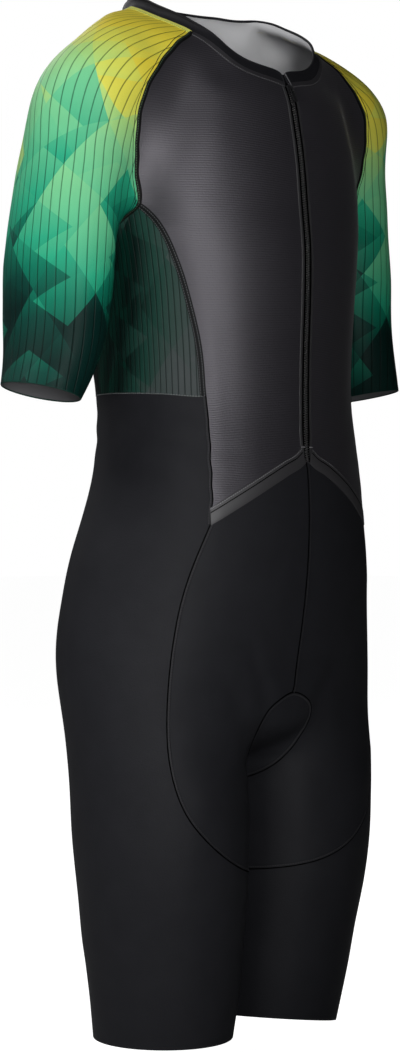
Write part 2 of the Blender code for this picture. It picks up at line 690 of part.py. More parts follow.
def band_grid(front_grid):
    """The hem band: the lowest stretch of the front panel, BAND_WIDTH tall."""
    hem, above = front_grid[-1], front_grid[-2]
    rise = above - hem
    rise *= (BAND_WIDTH / np.linalg.norm(rise, axis=1))[:, None]
    return np.stack([hem + rise, hem])


def zip_grid(net, collar):
    """The zip from the collar's rim to the hem."""
    line = np.vstack([collar[0, :1], net["zip_edge"]])
    return np.stack([line, mirrored(line)], axis=1)


# The slider rides on the zip, and the pull tab hangs from the slider's bridge.
SLIDER_LENGTH, SLIDER_WIDTH, SLIDER_BODY = 8.6, 6.4, 1.8
BRIDGE_WIDTH, BRIDGE_THICKNESS, BRIDGE_WINDOW = 1.4, 0.8, 1.7
BRIDGE_TOP, BRIDGE_BOTTOM = -2.4, 3.2      # along the slider, from the tab's axis
BRIDGE_POST = 1.0
TAB_RAIL = 1.0                             # square bar that turns under the bridge
TAB_WIDTH, TAB_SLOT_WIDTH, TAB_SLOT_LENGTH, TAB_LENGTH = 4.6, 2.4, 4.2, 15.0


def box_between(low, high):
    """A closed box mesh between two corners."""
    mesh = bmesh.new()
    middle = [(a + b) / 2 for a, b in zip(low, high)]
    size = [b - a for a, b in zip(low, high)]
    bmesh.ops.create_cube(mesh, size=1.0,
                          matrix=Matrix.Translation(middle) @ Matrix.Diagonal((*size, 1.0)))
    return mesh


def slider_frame():
    """The slider's seat on the chain, and its axes: to the wearer's right, down and out."""
    heights = np.array([[0.0, -100.0, SLIDER_HEIGHT - 8], [0.0, -100.0, SLIDER_HEIGHT + 8]])
    low, high = settle(heights, lock=2)
    down = Vector(low - high).normalized()
    right = Vector((-1, 0, 0))
    out = right.cross(down)
    seat = Vector((low + high) / 2) + out * (ZIP_PROUD + SEAM_GAP)
    return seat, Matrix((right, down, out)).transposed().to_4x4()


def hard_piece(name, boxes, holes, material, origin):
    """A hard piece in the slider's axes: boxes joined, then holes cut out of them."""
    seat, turn = slider_frame()
    place = Matrix.Translation(seat) @ turn
    pivot = place @ Vector(origin)
    parts = []
    for number, (low, high) in enumerate(boxes + holes):
        mesh = box_between(low, high)
        bmesh.ops.transform(mesh, matrix=Matrix.Scale(MM, 4), verts=mesh.verts)
        data = bpy.data.meshes.new(f"{name}_{number}")
        mesh.to_mesh(data)
        mesh.free()
        part = bpy.data.objects.new(data.name, data)
        bpy.context.scene.collection.objects.link(part)
        parts.append(part)
    piece = parts[0]
    for number, part in enumerate(parts[1:], start=1):
        cut = piece.modifiers.new(f"step_{number}", "BOOLEAN")
        cut.operation = "UNION" if number < len(boxes) else "DIFFERENCE"
        cut.solver = "EXACT"
        cut.object = part
    bpy.context.view_layer.update()
    shaped = bpy.data.meshes.new_from_object(piece.evaluated_get(
        bpy.context.evaluated_depsgraph_get()))
    for part in parts:
        bpy.data.objects.remove(part)
    shaped.transform(Matrix.Translation((seat - pivot) * MM) @ turn)
    shaped.materials.clear()
    shaped.materials.append(material)
    shaped.name = name
    piece = bpy.data.objects.new(name, shaped)
    piece.location = pivot * MM
    bpy.context.scene.collection.objects.link(piece)
    bevel = piece.modifiers.new("edges", "BEVEL")
    bevel.width = 0.15 * MM
    bevel.segments = 1
    bevel.limit_method = "ANGLE"
    return piece


def make_slider(material):
    """The slider: a flat body with a bridge over its middle."""
    half, top = SLIDER_WIDTH / 2, SLIDER_BODY + BRIDGE_WINDOW
    bridge = BRIDGE_WIDTH / 2
    boxes = [((-half, BRIDGE_TOP - 1.2, 0), (half, BRIDGE_TOP - 1.2 + SLIDER_LENGTH, SLIDER_BODY)),
             ((-bridge, BRIDGE_TOP, SLIDER_BODY - 0.3), (bridge, BRIDGE_BOTTOM,
                                                       top + BRIDGE_THICKNESS))]
    window = [((-half, BRIDGE_TOP + BRIDGE_POST, SLIDER_BODY),
               (half, BRIDGE_BOTTOM - BRIDGE_POST, top))]
    return hard_piece("zip_slider", boxes, window, material, (0, 0, 0))


def make_pull(material):
    """The pull tab: a flat tongue with a slot, whose top rail turns under the bridge."""
    half, slot = TAB_WIDTH / 2, TAB_SLOT_WIDTH / 2
    axis_height = SLIDER_BODY + BRIDGE_WINDOW / 2
    low, high = axis_height - TAB_RAIL / 2, axis_height + TAB_RAIL / 2
    start = -TAB_RAIL / 2
    boxes = [((-half, start, low), (half, start + TAB_LENGTH, high))]
    slots = [((-slot, TAB_RAIL / 2, low - 1), (slot, TAB_RAIL / 2 + TAB_SLOT_LENGTH, high + 1))]
    return hard_piece("zip_pull", boxes, slots, material, (0, 0, axis_height))


# ---------------------------------------------------------------- the suit
def build_suit():
    """Every piece of the suit."""
    for old in list(bpy.data.objects):
        bpy.data.objects.remove(old)
    front_knit = new_material("front_knit", (0.045, 0.041, 0.047), 0.55)
    print_knit = new_material("sleeve_knit", (0.12, 0.42, 0.22), 0.6)
    rib_knit = new_material("side_knit", (0.025, 0.045, 0.040), 0.65)
    leg_knit = new_material("leg_knit", (0.014, 0.015, 0.018), 0.5)
    trim = new_material("trim", (0.008, 0.008, 0.010), 0.6)
    zip_black = new_material("zip_plastic", (0.006, 0.006, 0.007), 0.35)
    materials = {"front": front_knit, "side": rib_knit, "sleeve": print_knit, "hip": leg_knit,
                 "thigh": leg_knit}
    halves = {side: half_patches(side) for side in ("right", "left")}
    net = halves["right"][1]
    collar = collar_grid(net)
    patches = {"right": halves["right"][0],
               "left": {name: [mirrored(grid) for grid in grids]
                        for name, grids in halves["left"][0].items()}}
    form = faceted_normals([grid for panels in patches.values()
                            for grids in panels.values() for grid in grids])
    shared = {"form": form, "collar": collar}
    for side, panels in patches.items():
        for name, material in materials.items():
            cloth_panel(f"{name}_{side}", panels[name], material, **shared)
        cloth_panel(f"hem_band_{side}", [band_grid(panels["front"][0])], front_knit,
                    top=BAND_GAP + BAND_CLOTH, bottom=BAND_GAP, **shared)
    for name in ("back", "gusset"):
        cloth_panel(name, patches["right"][name] + patches["left"][name], leg_knit, **shared)
    cloth_panel("collar", [collar], trim, **shared)
    cloth_panel("zip", [zip_grid(net, collar)], zip_black,
                top=ZIP_PROUD, bottom=ZIP_PROUD - ZIP_THICKNESS, **shared)
    make_slider(zip_black)
    make_pull(zip_black)


build_suit()
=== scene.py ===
"""Short-sleeved triathlon suit, worn: sewn knit panels with a front zip and raglan sleeves."""

import math

import bmesh
import bpy
import numpy as np
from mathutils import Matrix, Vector
from mathutils.bvhtree import BVHTree


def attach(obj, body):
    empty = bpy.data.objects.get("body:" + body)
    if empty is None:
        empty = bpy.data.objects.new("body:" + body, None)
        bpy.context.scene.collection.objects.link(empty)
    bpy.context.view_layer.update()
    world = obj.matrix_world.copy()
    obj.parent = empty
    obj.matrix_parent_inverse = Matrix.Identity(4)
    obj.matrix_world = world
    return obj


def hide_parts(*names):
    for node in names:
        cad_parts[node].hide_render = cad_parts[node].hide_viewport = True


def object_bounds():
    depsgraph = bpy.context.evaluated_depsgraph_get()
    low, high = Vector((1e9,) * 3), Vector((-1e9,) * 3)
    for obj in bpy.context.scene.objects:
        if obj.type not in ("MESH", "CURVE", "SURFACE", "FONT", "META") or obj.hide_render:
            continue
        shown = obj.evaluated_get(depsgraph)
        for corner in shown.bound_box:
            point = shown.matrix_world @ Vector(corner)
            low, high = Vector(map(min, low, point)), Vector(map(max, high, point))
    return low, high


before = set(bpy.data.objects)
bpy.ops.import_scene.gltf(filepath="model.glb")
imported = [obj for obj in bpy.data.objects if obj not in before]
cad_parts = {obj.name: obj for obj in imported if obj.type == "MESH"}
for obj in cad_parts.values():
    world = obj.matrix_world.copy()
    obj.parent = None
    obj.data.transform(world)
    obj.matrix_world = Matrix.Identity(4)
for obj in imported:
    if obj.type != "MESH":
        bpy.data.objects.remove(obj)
cad_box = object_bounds()
bpy.ops.object.select_all(action="DESELECT")


# --- Studio -----------------------------------------------
# A white paper floor under the suit, one broad soft lamp on the wearer's right front, weak
# lamps at its side, over the shoulder and behind, and a long lens level with the hips.

scene = bpy.context.scene
scene.view_settings.view_transform = "Standard"
scene.view_settings.look = "None"

camera_data = bpy.data.cameras.new("studio_camera")
camera_data.sensor_fit = "VERTICAL"
camera_data.sensor_height = 36.0
camera_data.lens = 88.2
camera_data.shift_x = -0.0171
camera_data.shift_y = -0.0105
camera = bpy.data.objects.new("studio_camera", camera_data)
scene.collection.objects.link(camera)
camera.location = (-1.7678, -1.7678, -0.480)
camera.rotation_euler = (math.radians(90), 0.0, math.radians(-45))
scene.camera = camera


def new_material(name, colour, roughness, gloss=0.12):
    """A material, its node tree and its Principled shader."""
    material = bpy.data.materials.new(name)
    material.use_nodes = True
    shader = material.node_tree.nodes["Principled BSDF"]
    shader.inputs["Base Color"].default_value = (*colour, 1.0)
    shader.inputs["Roughness"].default_value = roughness
    shader.inputs["Specular IOR Level"].default_value = gloss
    return material, material.node_tree, shader


def add_node(tree, kind, inputs=(), **settings):
    """A node with its settings; inputs pairs a socket with a value or with another socket."""
    made = tree.nodes.new(kind)
    for name, value in settings.items():
        setattr(made, name, value)
    for socket, value in inputs:
        if isinstance(value, bpy.types.NodeSocket):
            tree.links.new(value, made.inputs[socket])
        else:
            made.inputs[socket].default_value = value
    return made


def calculate(tree, operation, *values):
    """The result socket of one Math node."""
    return add_node(tree, "ShaderNodeMath", enumerate(values), operation=operation).outputs[0]


# Paper and air look white to the camera, but reflect and give only a little light.
FLOOR_GAP = 0.02
PAPER_GLOW = 0.98
AIR_GLOW = 0.985
AIR_LIGHT = 0.015

bpy.ops.mesh.primitive_plane_add(size=30.0, location=(0.0, 0.0, cad_box[0][2] - FLOOR_GAP))
floor = bpy.context.object
floor.name = "studio_floor"
bpy.ops.object.transform_apply()
floor.select_set(False)
paper, tree, shader = new_material("studio_paper", (0.45, 0.45, 0.45), 0.9)
sight = add_node(tree, "ShaderNodeLightPath").outputs["Is Camera Ray"]
shader.inputs["Emission Color"].default_value = (1.0, 1.0, 1.0, 1.0)
tree.links.new(calculate(tree, "MULTIPLY", sight, PAPER_GLOW), shader.inputs["Emission Strength"])
floor.data.materials.append(paper)

air = bpy.data.worlds.new("studio_air")
air.use_nodes = True
scene.world = air
tree = air.node_tree
sight = add_node(tree, "ShaderNodeLightPath").outputs["Is Camera Ray"]
glow = calculate(tree, "MULTIPLY_ADD", sight, AIR_GLOW, AIR_LIGHT)
tree.nodes["Background"].inputs["Color"].default_value = (1.0, 1.0, 1.0, 1.0)
tree.links.new(glow, tree.nodes["Background"].inputs["Strength"])


def soft_lamp(name, place, aim, size, power):
    """A rectangular lamp that faces a point."""
    lamp_data = bpy.data.lights.new(name, "AREA")
    lamp_data.shape = "RECTANGLE"
    lamp_data.size = size[0]
    lamp_data.size_y = size[1]
    lamp_data.energy = power
    lamp = bpy.data.objects.new(name, lamp_data)
    scene.collection.objects.link(lamp)
    lamp.location = place
    lamp.rotation_euler = (Vector(aim) - Vector(place)).to_track_quat("-Z", "Y").to_euler()


soft_lamp("key_lamp", (-1.435, -2.485, -0.6), (0.0, 0.0, -0.45), (0.8, 1.5), 116.0)
soft_lamp("right_lamp", (-2.6, -1.0, -0.2), (0.0, 0.0, -0.4), (1.0, 1.4), 17.0)
soft_lamp("shoulder_lamp", (-1.9, 0.9, 1.5), (0.0, 0.0, -0.15), (0.9, 0.9), 32.0)
soft_lamp("back_lamp", (0.3, 2.3, 1.3), (0.0, 0.0, -0.4), (1.4, 1.4), 20.0)
soft_lamp("left_lamp", (1.8, 2.1, 0.4), (0.0, 0.0, -0.5), (1.2, 1.2), 9.0)

# Two black cards stand across the key light's beam, half way along and out of the camera's
# sight: a tall one shades the wearer's left half and a low one the legs.
black_card = new_material("black_card", (0.002, 0.002, 0.002), 0.9)[0]
for name, place, size in (
    ("side_card", (-0.2480, -1.5970, -0.555), (1.2, 0.95)),
    ("low_card", (-0.7175, -1.2425, -0.91), (2.4, 0.24)),
):
    bpy.ops.mesh.primitive_plane_add(size=1.0, location=place)
    card = bpy.context.object
    card.name = name
    card.scale = (*size, 1.0)
    card.rotation_euler = (math.radians(90.0), 0.0, math.radians(-30.0))
    card.visible_camera = False
    card.data.materials.append(black_card)
    card.select_set(False)


# --- Cloth form -------------------------------------------
# The knit panels are cut flat, sewn edge to edge and pulled on, so together they make one
# smooth stretched skin. Each panel's cut gives its pattern; the joined skin gives its form.

ARM_LINE = (Vector((-0.100, 0.025, -0.050)), Vector((-0.205, 0.008, -0.370)))
RIM_WIDTH = 0.0026  # the cut edges of the walls are narrower than this
SEW_REACH = 0.0014  # and two neighbouring panels lie closer than this


def inside_point(panel, side, place):
    """A point inside the wearer near a place on the panel."""
    if panel.startswith("sleeve"):
        start, end = (Vector((side * p.x, p.y, p.z)) for p in ARM_LINE)
        share = (place - start).dot(end - start) / (end - start).length_squared
        return start + (end - start) * min(1.0, max(0.0, share))
    if panel == "gusset":
        return Vector((0.0, 0.0, -0.55))
    leg = {"hip": -0.05, "thigh": -0.09}.get(panel.split("_")[0], 0.0)
    return Vector((leg * side, 0.0, place.z))


def outer_sheet(panel, side):
    """The panel's face side as a mesh of quads, without its edges and its inner side."""
    mesh = bmesh.new()
    mesh.from_mesh(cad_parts[panel].data)
    bmesh.ops.remove_doubles(mesh, verts=mesh.verts, dist=1e-5)
    rim = [f for f in mesh.faces if min(e.calc_length() for e in f.edges) < RIM_WIDTH]
    bmesh.ops.delete(mesh, geom=rim, context="FACES")
    mesh.normal_update()
    mesh.faces.ensure_lookup_table()
    first = {mesh.faces[0]}
    growing = [mesh.faces[0]]
    while growing:
        for edge in growing.pop().edges:
            for face in edge.link_faces:
                if face not in first:
                    first.add(face)
                    growing.append(face)
    outward = 0.0
    for face in first:
        middle = face.calc_center_median()
        away = (middle - inside_point(panel, side, middle)).normalized()
        outward += face.calc_area() * face.normal.dot(away)
    unwanted = first if outward < 0.0 else set(mesh.faces) - first
    bmesh.ops.delete(mesh, geom=list(unwanted), context="FACES")
    bmesh.ops.join_triangles(
        mesh,
        faces=mesh.faces,
        angle_face_threshold=math.pi,
        angle_shape_threshold=math.pi,
    )
    sheet = bpy.data.meshes.new(panel + "_cut")
    mesh.to_mesh(sheet)
    mesh.free()
    return sheet


def read_values(collection, name, width, kind=float):
    """A mesh property of all elements as an array of rows."""
    values = np.empty(len(collection) * width, dtype=kind)
    collection.foreach_get(name, values)
    return values.reshape(-1, width)


cuts = {}


def flat_cut(panel, side, across, along, seam_ends=(), where=None):
    """Adds the panel to the cuts, as a loose sheet whose map holds metres across and along."""
    sheet = outer_sheet(panel, side)
    piece = bpy.data.objects.new(panel + "_cut", sheet)
    scene.collection.objects.link(piece)
    bpy.context.view_layer.objects.active = piece
    piece.select_set(True)
    sheet.uv_layers.new(name="cut")
    sides = bmesh.new()
    sides.from_mesh(sheet)
    rim_points = [v.co.copy() for v in sides.verts if v.is_boundary]
    sides.free()
    bpy.ops.object.mode_set(mode="EDIT")
    bpy.context.tool_settings.mesh_select_mode = (True, False, False)
    bpy.ops.mesh.select_all(action="DESELECT")
    bpy.ops.object.mode_set(mode="OBJECT")
    for end in seam_ends:
        nearest = min(rim_points, key=lambda p, end=end: (p - end).length)
        found = min(sheet.vertices, key=lambda v, nearest=nearest: (v.co - nearest).length)
        found.select = True
    bpy.ops.object.mode_set(mode="EDIT")
    if seam_ends:
        bpy.ops.mesh.shortest_path_select(edge_mode="SELECT")
        bpy.ops.mesh.mark_seam()
    bpy.ops.mesh.select_all(action="SELECT")
    bpy.ops.uv.unwrap(method="MINIMUM_STRETCH", margin=0.0)
    bpy.ops.object.mode_set(mode="OBJECT")
    piece.select_set(False)
    corners = read_values(sheet.uv_layers["cut"].uv, "vector", 2)
    owners = read_values(sheet.loops, "vertex_index", 1, int)[:, 0]
    places = read_values(sheet.vertices, "co", 3)[owners]
    rings = [corners[list(f.loop_indices)] for f in sheet.polygons]
    turned = [(r[:, 0] * np.roll(r[:, 1], -1) - r[:, 1] * np.roll(r[:, 0], -1)).sum() for r in rings]
    worn_area = sum(f.area for f in sheet.polygons)
    corners = corners * math.sqrt(worn_area / (0.5 * np.abs(turned).sum()))
    used = np.ones(len(places), dtype=bool) if where is None else where(places)
    wanted = places @ np.array([across, along]).T
    middle, aim = corners[used].mean(axis=0), wanted[used].mean(axis=0)
    left, _, right = np.linalg.svd((corners[used] - middle).T @ (wanted[used] - aim))
    corners = (corners - middle) @ (left @ right) + aim
    sheet.uv_layers["cut"].uv.foreach_set("vector", corners.ravel())
    cuts[panel] = piece


for side, end in ((1.0, "_right"), (-1.0, "_left")):
    flat_cut("front" + end, side, (1, 0, 0), (0, 0, 1))
    flat_cut("side" + end, side, (0, -1, 0), (0, 0, 1))
    flat_cut(
        "sleeve" + end,
        side,
        (0, -1, 0),
        (0.28 * side, 0, 0.96),
        (Vector((-0.128 * side, 0.03, -0.19)), Vector((-0.185 * side, 0.006, -0.40))),
        lambda p, side=side: p[:, 0] * side < -0.19,
    )
    flat_cut(
        "hip" + end,
        side,
        (0, -side, 0),
        (0, 0, 1),
        (Vector((-0.03 * side, 0, -0.84)), Vector((-0.03 * side, 0, -1.0))),
        lambda p, side=side: p[:, 0] * side < -0.1,
    )
    flat_cut("thigh" + end, side, (1, 0, 0), (0, 0, 1), (), lambda p: p[:, 1] < -0.05)
flat_cut("back", 1.0, (1, 0, 0), (0, 0, 1))
flat_cut("collar", 1.0, (1, 0, 0), (0, 0, 1))
flat_cut("gusset", 1.0, (1, 0, 0), (0, 1, 0))
PANEL_NUMBER = {panel: number for number, panel in enumerate(cuts)}

for panel, piece in cuts.items():
    marks = piece.data.attributes.new("panel", "INT", "FACE")
    marks.data.foreach_set("value", [PANEL_NUMBER[panel]] * len(piece.data.polygons))
    piece.select_set(True)
bpy.context.view_layer.objects.active = cuts["back"]
bpy.ops.object.join()
skin = bpy.context.object
skin.name = "skin"
sewing = bmesh.new()
sewing.from_mesh(skin.data)
open_points = [v for v in sewing.verts if v.is_boundary]
bmesh.ops.remove_doubles(sewing, verts=open_points, dist=SEW_REACH)
bmesh.ops.recalc_face_normals(sewing, faces=sewing.faces)
sewing.to_mesh(skin.data)
fixed = np.array([v.is_boundary for v in sewing.verts])
sewing.free()

EASE = 0.5
REGAIN = 0.47


def relaxed(points, edges, pinned, rounds, weight):
    """Points eased towards the middle of their neighbours, without shrinking the form."""
    counts = np.bincount(edges.ravel(), minlength=len(points))[:, None]
    for step in range(2 * rounds):
        total = np.zeros_like(points)
        np.add.at(total, edges[:, 0], points[edges[:, 1]])
        np.add.at(total, edges[:, 1], points[edges[:, 0]])
        pull = (total / counts - points) * (EASE if step % 2 == 0 else -REGAIN)
        pull[pinned] = 0.0
        points = points + pull * weight[:, None]
    return points


# The hips are eased between these heights, and less in a strip down the middle.
EASED_FROM = -0.80
EASED_TO = -0.50
EASE_BLEND = 0.06
EASE_ROUNDS = 18
MIDDLE_STRIP = 0.045
MIDDLE_SHARE = 0.3

cloth_points = read_values(skin.data.vertices, "co", 3)
heights = cloth_points[:, 2]
hip_ease = np.clip((heights - EASED_FROM) / EASE_BLEND, 0, 1)
hip_ease *= np.clip((EASED_TO - heights) / EASE_BLEND, 0, 1)
hip_ease[np.abs(cloth_points[:, 0]) < MIDDLE_STRIP] *= MIDDLE_SHARE
joined_edges = read_values(skin.data.edges, "vertices", 2, int)
cloth_points = relaxed(cloth_points, joined_edges, fixed, EASE_ROUNDS, hip_ease)

# The cage grows until its rounded form passes through the eased points again.
FITTING_ROUNDS = 5
FITTING_STEP = 0.9
ROUNDING_LEVELS = 3

cage = cloth_points.copy()
for _ in range(FITTING_ROUNDS):
    skin.data.vertices.foreach_set("co", cage.ravel())
    fitting = skin.modifiers.new("fitting", "SUBSURF")
    fitting.levels = fitting.render_levels = 1
    skin.data.update()
    bpy.context.view_layer.update()
    fitted = skin.evaluated_get(bpy.context.evaluated_depsgraph_get()).data
    cage += FITTING_STEP * (cloth_points - read_values(fitted.vertices, "co", 3)[: len(cage)])
    skin.modifiers.remove(fitting)
skin.data.vertices.foreach_set("co", cage.ravel())
rounding = skin.modifiers.new("rounding", "SUBSURF")
rounding.levels = rounding.render_levels = ROUNDING_LEVELS
bpy.ops.object.modifier_apply(modifier="rounding")


# --- Drape ------------------------------------------------
# Tight knit lies smooth and only pulls into a few soft folds: at the armpits, round the
# waist and small of the back, under the seat and at the top of the legs, no two alike.

FOLDS = (
    # points of the fold on the wearer's right or left, depth and half width, all in mm
    (((-128, -48, -188), (-112, -72, -206), (-94, -86, -216)), 0.2, 7.0),
    (((-126, -40, -200), (-116, -58, -226), (-108, -72, -262)), 0.2, 8.0),
    (((128, -46, -190), (114, -70, -214)), 0.9, 6.5),
    (((126, -34, -206), (118, -52, -244), (112, -64, -274)), 1.0, 8.0),
    (((-136, 60, -196), (-112, 92, -224), (-84, 108, -236)), 1.4, 8.0),
    (((138, 62, -202), (118, 90, -222), (96, 104, -230)), 1.2, 7.0),
    (((-110, 60, -384), (-70, 96, -392), (-20, 106, -386)), 1.3, 9.0),
    (((-112, 40, -408), (-84, 82, -420)), 0.9, 8.0),
    (((116, 44, -396), (78, 88, -404), (34, 100, -412)), 1.2, 10.0),
    (((-20, 104, -420), (30, 104, -428), (62, 96, -424)), 0.7, 8.0),
    (((-118, -20, -402), (-114, -52, -412), (-98, -78, -428)), 0.6, 8.0),
    (((-60, -96, -600), (-36, -104, -650), (-26, -98, -690)), 0.9, 8.0),
    (((62, -96, -610), (40, -104, -655), (28, -96, -692)), 1.1, 9.0),
    (((-84, -106, -636), (-58, -112, -676)), 0.5, 7.0),
    (((-30, 98, -676), (-66, 104, -712), (-104, 86, -722)), 1.3, 9.0),
    (((32, 98, -680), (70, 102, -706), (110, 82, -726)), 1.1, 8.0),
    (((-44, 90, -712), (-76, 92, -740)), 0.8, 7.0),
    (((-60, 70, -880), (-100, 72, -894), (-132, 50, -902)), 0.7, 9.0),
    (((64, 68, -900), (96, 72, -912)), 0.6, 8.0),
    (((-180, -40, -196), (-166, -36, -222), (-160, -24, -250)), 0.8, 7.0),
    (((-172, 60, -190), (-164, 58, -226), (-168, 52, -262)), 1.2, 8.0),
    (((174, 60, -196), (162, 58, -240)), 1.0, 8.0),
    (((-206, 60, -210), (-214, 56, -250)), 0.6, 9.0),
)
FOLD_UNIT = 0.001


def along_line(points, line):
    """Each point's distance from a line of points and its share of the way along it."""
    best = np.full(len(points), np.inf)
    share = np.zeros(len(points))
    lengths = np.linalg.norm(np.diff(line, axis=0), axis=1)
    passed = np.concatenate([[0.0], np.cumsum(lengths)])
    for index, length in enumerate(lengths):
        step = (line[index + 1] - line[index]) / length
        reach = np.clip((points - line[index]) @ step, 0.0, length)
        away = np.linalg.norm(points - line[index] - reach[:, None] * step, axis=1)
        nearer = away < best
        best[nearer] = away[nearer]
        share[nearer] = ((passed[index] + reach) / passed[-1])[nearer]
    return best, share


def skin_tree():
    """The skin as a tree for finding its nearest point."""
    faces = [tuple(f.vertices) for f in skin.data.polygons]
    return BVHTree.FromPolygons([v.co.copy() for v in skin.data.vertices], faces)


points = read_values(skin.data.vertices, "co", 3)
tree_of_skin = skin_tree()
normals = read_values(skin.data.vertices, "normal", 3)
sink = np.zeros(len(points))
for fold, depth, width in FOLDS:
    line = np.array([tree_of_skin.find_nearest(Vector(p) * FOLD_UNIT)[0] for p in fold])
    away, share = along_line(points, line)
    # A fold widens on its way, fades at both ends and has a low ridge beside its trough.
    width = width * FOLD_UNIT * (0.75 + 0.5 * share)
    ends = np.sin(np.pi * np.clip(0.06 + 0.88 * share, 0.0, 1.0)) ** 0.8
    trough = np.exp(-((away / width) ** 2)) - 0.4 * np.exp(-(((away - 2.0 * width) / width) ** 2))
    sink += depth * FOLD_UNIT * ends * trough
points = points - normals * sink[:, None]
skin.data.vertices.foreach_set("co", points.ravel())
skin.data.update()


# --- Front panels -----------------------------------------
# Two charcoal panels of a fine cross-ribbed racing knit, cut to a V at the bottom edge and
# joined down the middle by the zip.

CLOTH_THICKNESS = 0.0012


def cut_out(panel, face, lining):
    """The sewn-on panel: its part of the skin with a cloth wall behind it."""
    mesh = bmesh.new()
    mesh.from_mesh(skin.data)
    owner = mesh.faces.layers.int["panel"]
    others = [f for f in mesh.faces if f[owner] != PANEL_NUMBER[panel]]
    bmesh.ops.delete(mesh, geom=others, context="FACES")
    cloth = bpy.data.meshes.new(panel + "_cloth")
    mesh.to_mesh(cloth)
    mesh.free()
    piece = bpy.data.objects.new(panel + "_cloth", cloth)
    scene.collection.objects.link(piece)
    cloth.materials.clear()
    cloth.materials.append(face)
    cloth.materials.append(lining)
    cloth.polygons.foreach_set("material_index", [0] * len(cloth.polygons))
    wall = piece.modifiers.new("wall", "SOLIDIFY")
    wall.thickness = CLOTH_THICKNESS
    wall.offset = -1.0
    wall.material_offset = 1
    wall.material_offset_rim = 0
    bpy.context.view_layer.objects.active = piece
    piece.select_set(True)
    bpy.ops.object.modifier_apply(modifier="wall")
    bpy.ops.object.shade_smooth_by_angle(angle=math.radians(50))
    piece.select_set(False)
    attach(piece, "suit")
    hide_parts(panel)


def new_group(name, inputs, outputs):
    """An empty shader group with named inputs and outputs, and its two end nodes."""
    group = bpy.data.node_groups.new(name, "ShaderNodeTree")
    for names, way in ((inputs, "INPUT"), (outputs, "OUTPUT")):
        for socket in names:
            kind = "NodeSocketVector" if socket == "Map" else "NodeSocketFloat"
            group.interface.new_socket(socket, in_out=way, socket_type=kind)
    return group, add_node(group, "NodeGroupInput"), add_node(group, "NodeGroupOutput")


def place_group(tree, group, **inputs):
    """The group placed in a material, with its inputs linked or set by name."""
    return add_node(tree, "ShaderNodeGroup", inputs.items(), node_tree=group).outputs


def smooth_step(tree, value, start, end, first, last):
    """A socket that passes smoothly from first to last while the value goes from start to end."""
    inputs = enumerate((value, start, end, first, last))
    made = add_node(tree, "ShaderNodeMapRange", inputs, interpolation_type="SMOOTHSTEP")
    return made.outputs["Result"]


rib_lines, start, finish = new_group("rib_lines", ("Place", "Spacing", "Width"), ("Line",))
turns = calculate(rib_lines, "DIVIDE", start.outputs["Place"], start.outputs["Spacing"])
offset = calculate(rib_lines, "SUBTRACT", calculate(rib_lines, "FRACT", turns), 0.5)
offset = calculate(rib_lines, "ABSOLUTE", offset)
away = calculate(rib_lines, "MULTIPLY", offset, start.outputs["Spacing"])
line = smooth_step(rib_lines, away, 0.0, start.outputs["Width"], 1.0, 0.0)
rib_lines.links.new(line, finish.inputs["Line"])

KNIT_PITCH = 0.0011
LOOP_HEIGHT = 0.00002
FUZZ_HEIGHT = 0.00018

knit_grain, start, finish = new_group("knit_grain", ("Map", "Pitch"), ("Height", "Tone", "Fuzz"))
split = add_node(knit_grain, "ShaderNodeSeparateXYZ", ((0, start.outputs["Map"]),))
rate = calculate(knit_grain, "DIVIDE", 2.0 * math.pi, start.outputs["Pitch"])
wale = calculate(knit_grain, "SINE", calculate(knit_grain, "MULTIPLY", split.outputs["X"], rate))
course = calculate(knit_grain, "SINE", calculate(knit_grain, "MULTIPLY", split.outputs["Y"], rate))
knit_grain.links.new(calculate(knit_grain, "MULTIPLY", wale, course), finish.inputs["Height"])
noises = []
for scale, detail in ((38.0, 3.0), (560.0, 2.0)):
    inputs = [("Vector", start.outputs["Map"]), ("Scale", scale)]
    inputs += [("Detail", detail), ("Roughness", 0.6)]
    noises.append(add_node(knit_grain, "ShaderNodeTexNoise", inputs).outputs["Fac"])
patches, specks = noises
knit_grain.links.new(patches, finish.inputs["Tone"])
fuzz = calculate(knit_grain, "MULTIPLY", specks, FUZZ_HEIGHT)
knit_grain.links.new(fuzz, finish.inputs["Fuzz"])


def cut_map(tree):
    """The flat cut's coordinates in metres, whole and as across and along."""
    cut = add_node(tree, "ShaderNodeUVMap", (), uv_map="cut").outputs["UV"]
    split = add_node(tree, "ShaderNodeSeparateXYZ", ((0, cut),))
    return cut, split.outputs["X"], split.outputs["Y"]


def mix_colours(tree, share, first, second, blend="MIX"):
    """The result socket of one colour mix."""
    inputs = ((0, share), (6, first), (7, second))
    return add_node(tree, "ShaderNodeMix", inputs, data_type="RGBA", blend_type=blend).outputs[2]


def set_relief(tree, shader, height):
    """A bump from a height in metres."""
    inputs = (("Strength", 1.0), ("Distance", 1.0), ("Height", height))
    relief = add_node(tree, "ShaderNodeBump", inputs)
    tree.links.new(relief.outputs["Normal"], shader.inputs["Normal"])


FRONT_RIB_SHADE = 0.3
FRONT_RIB_DEPTH = 0.0001

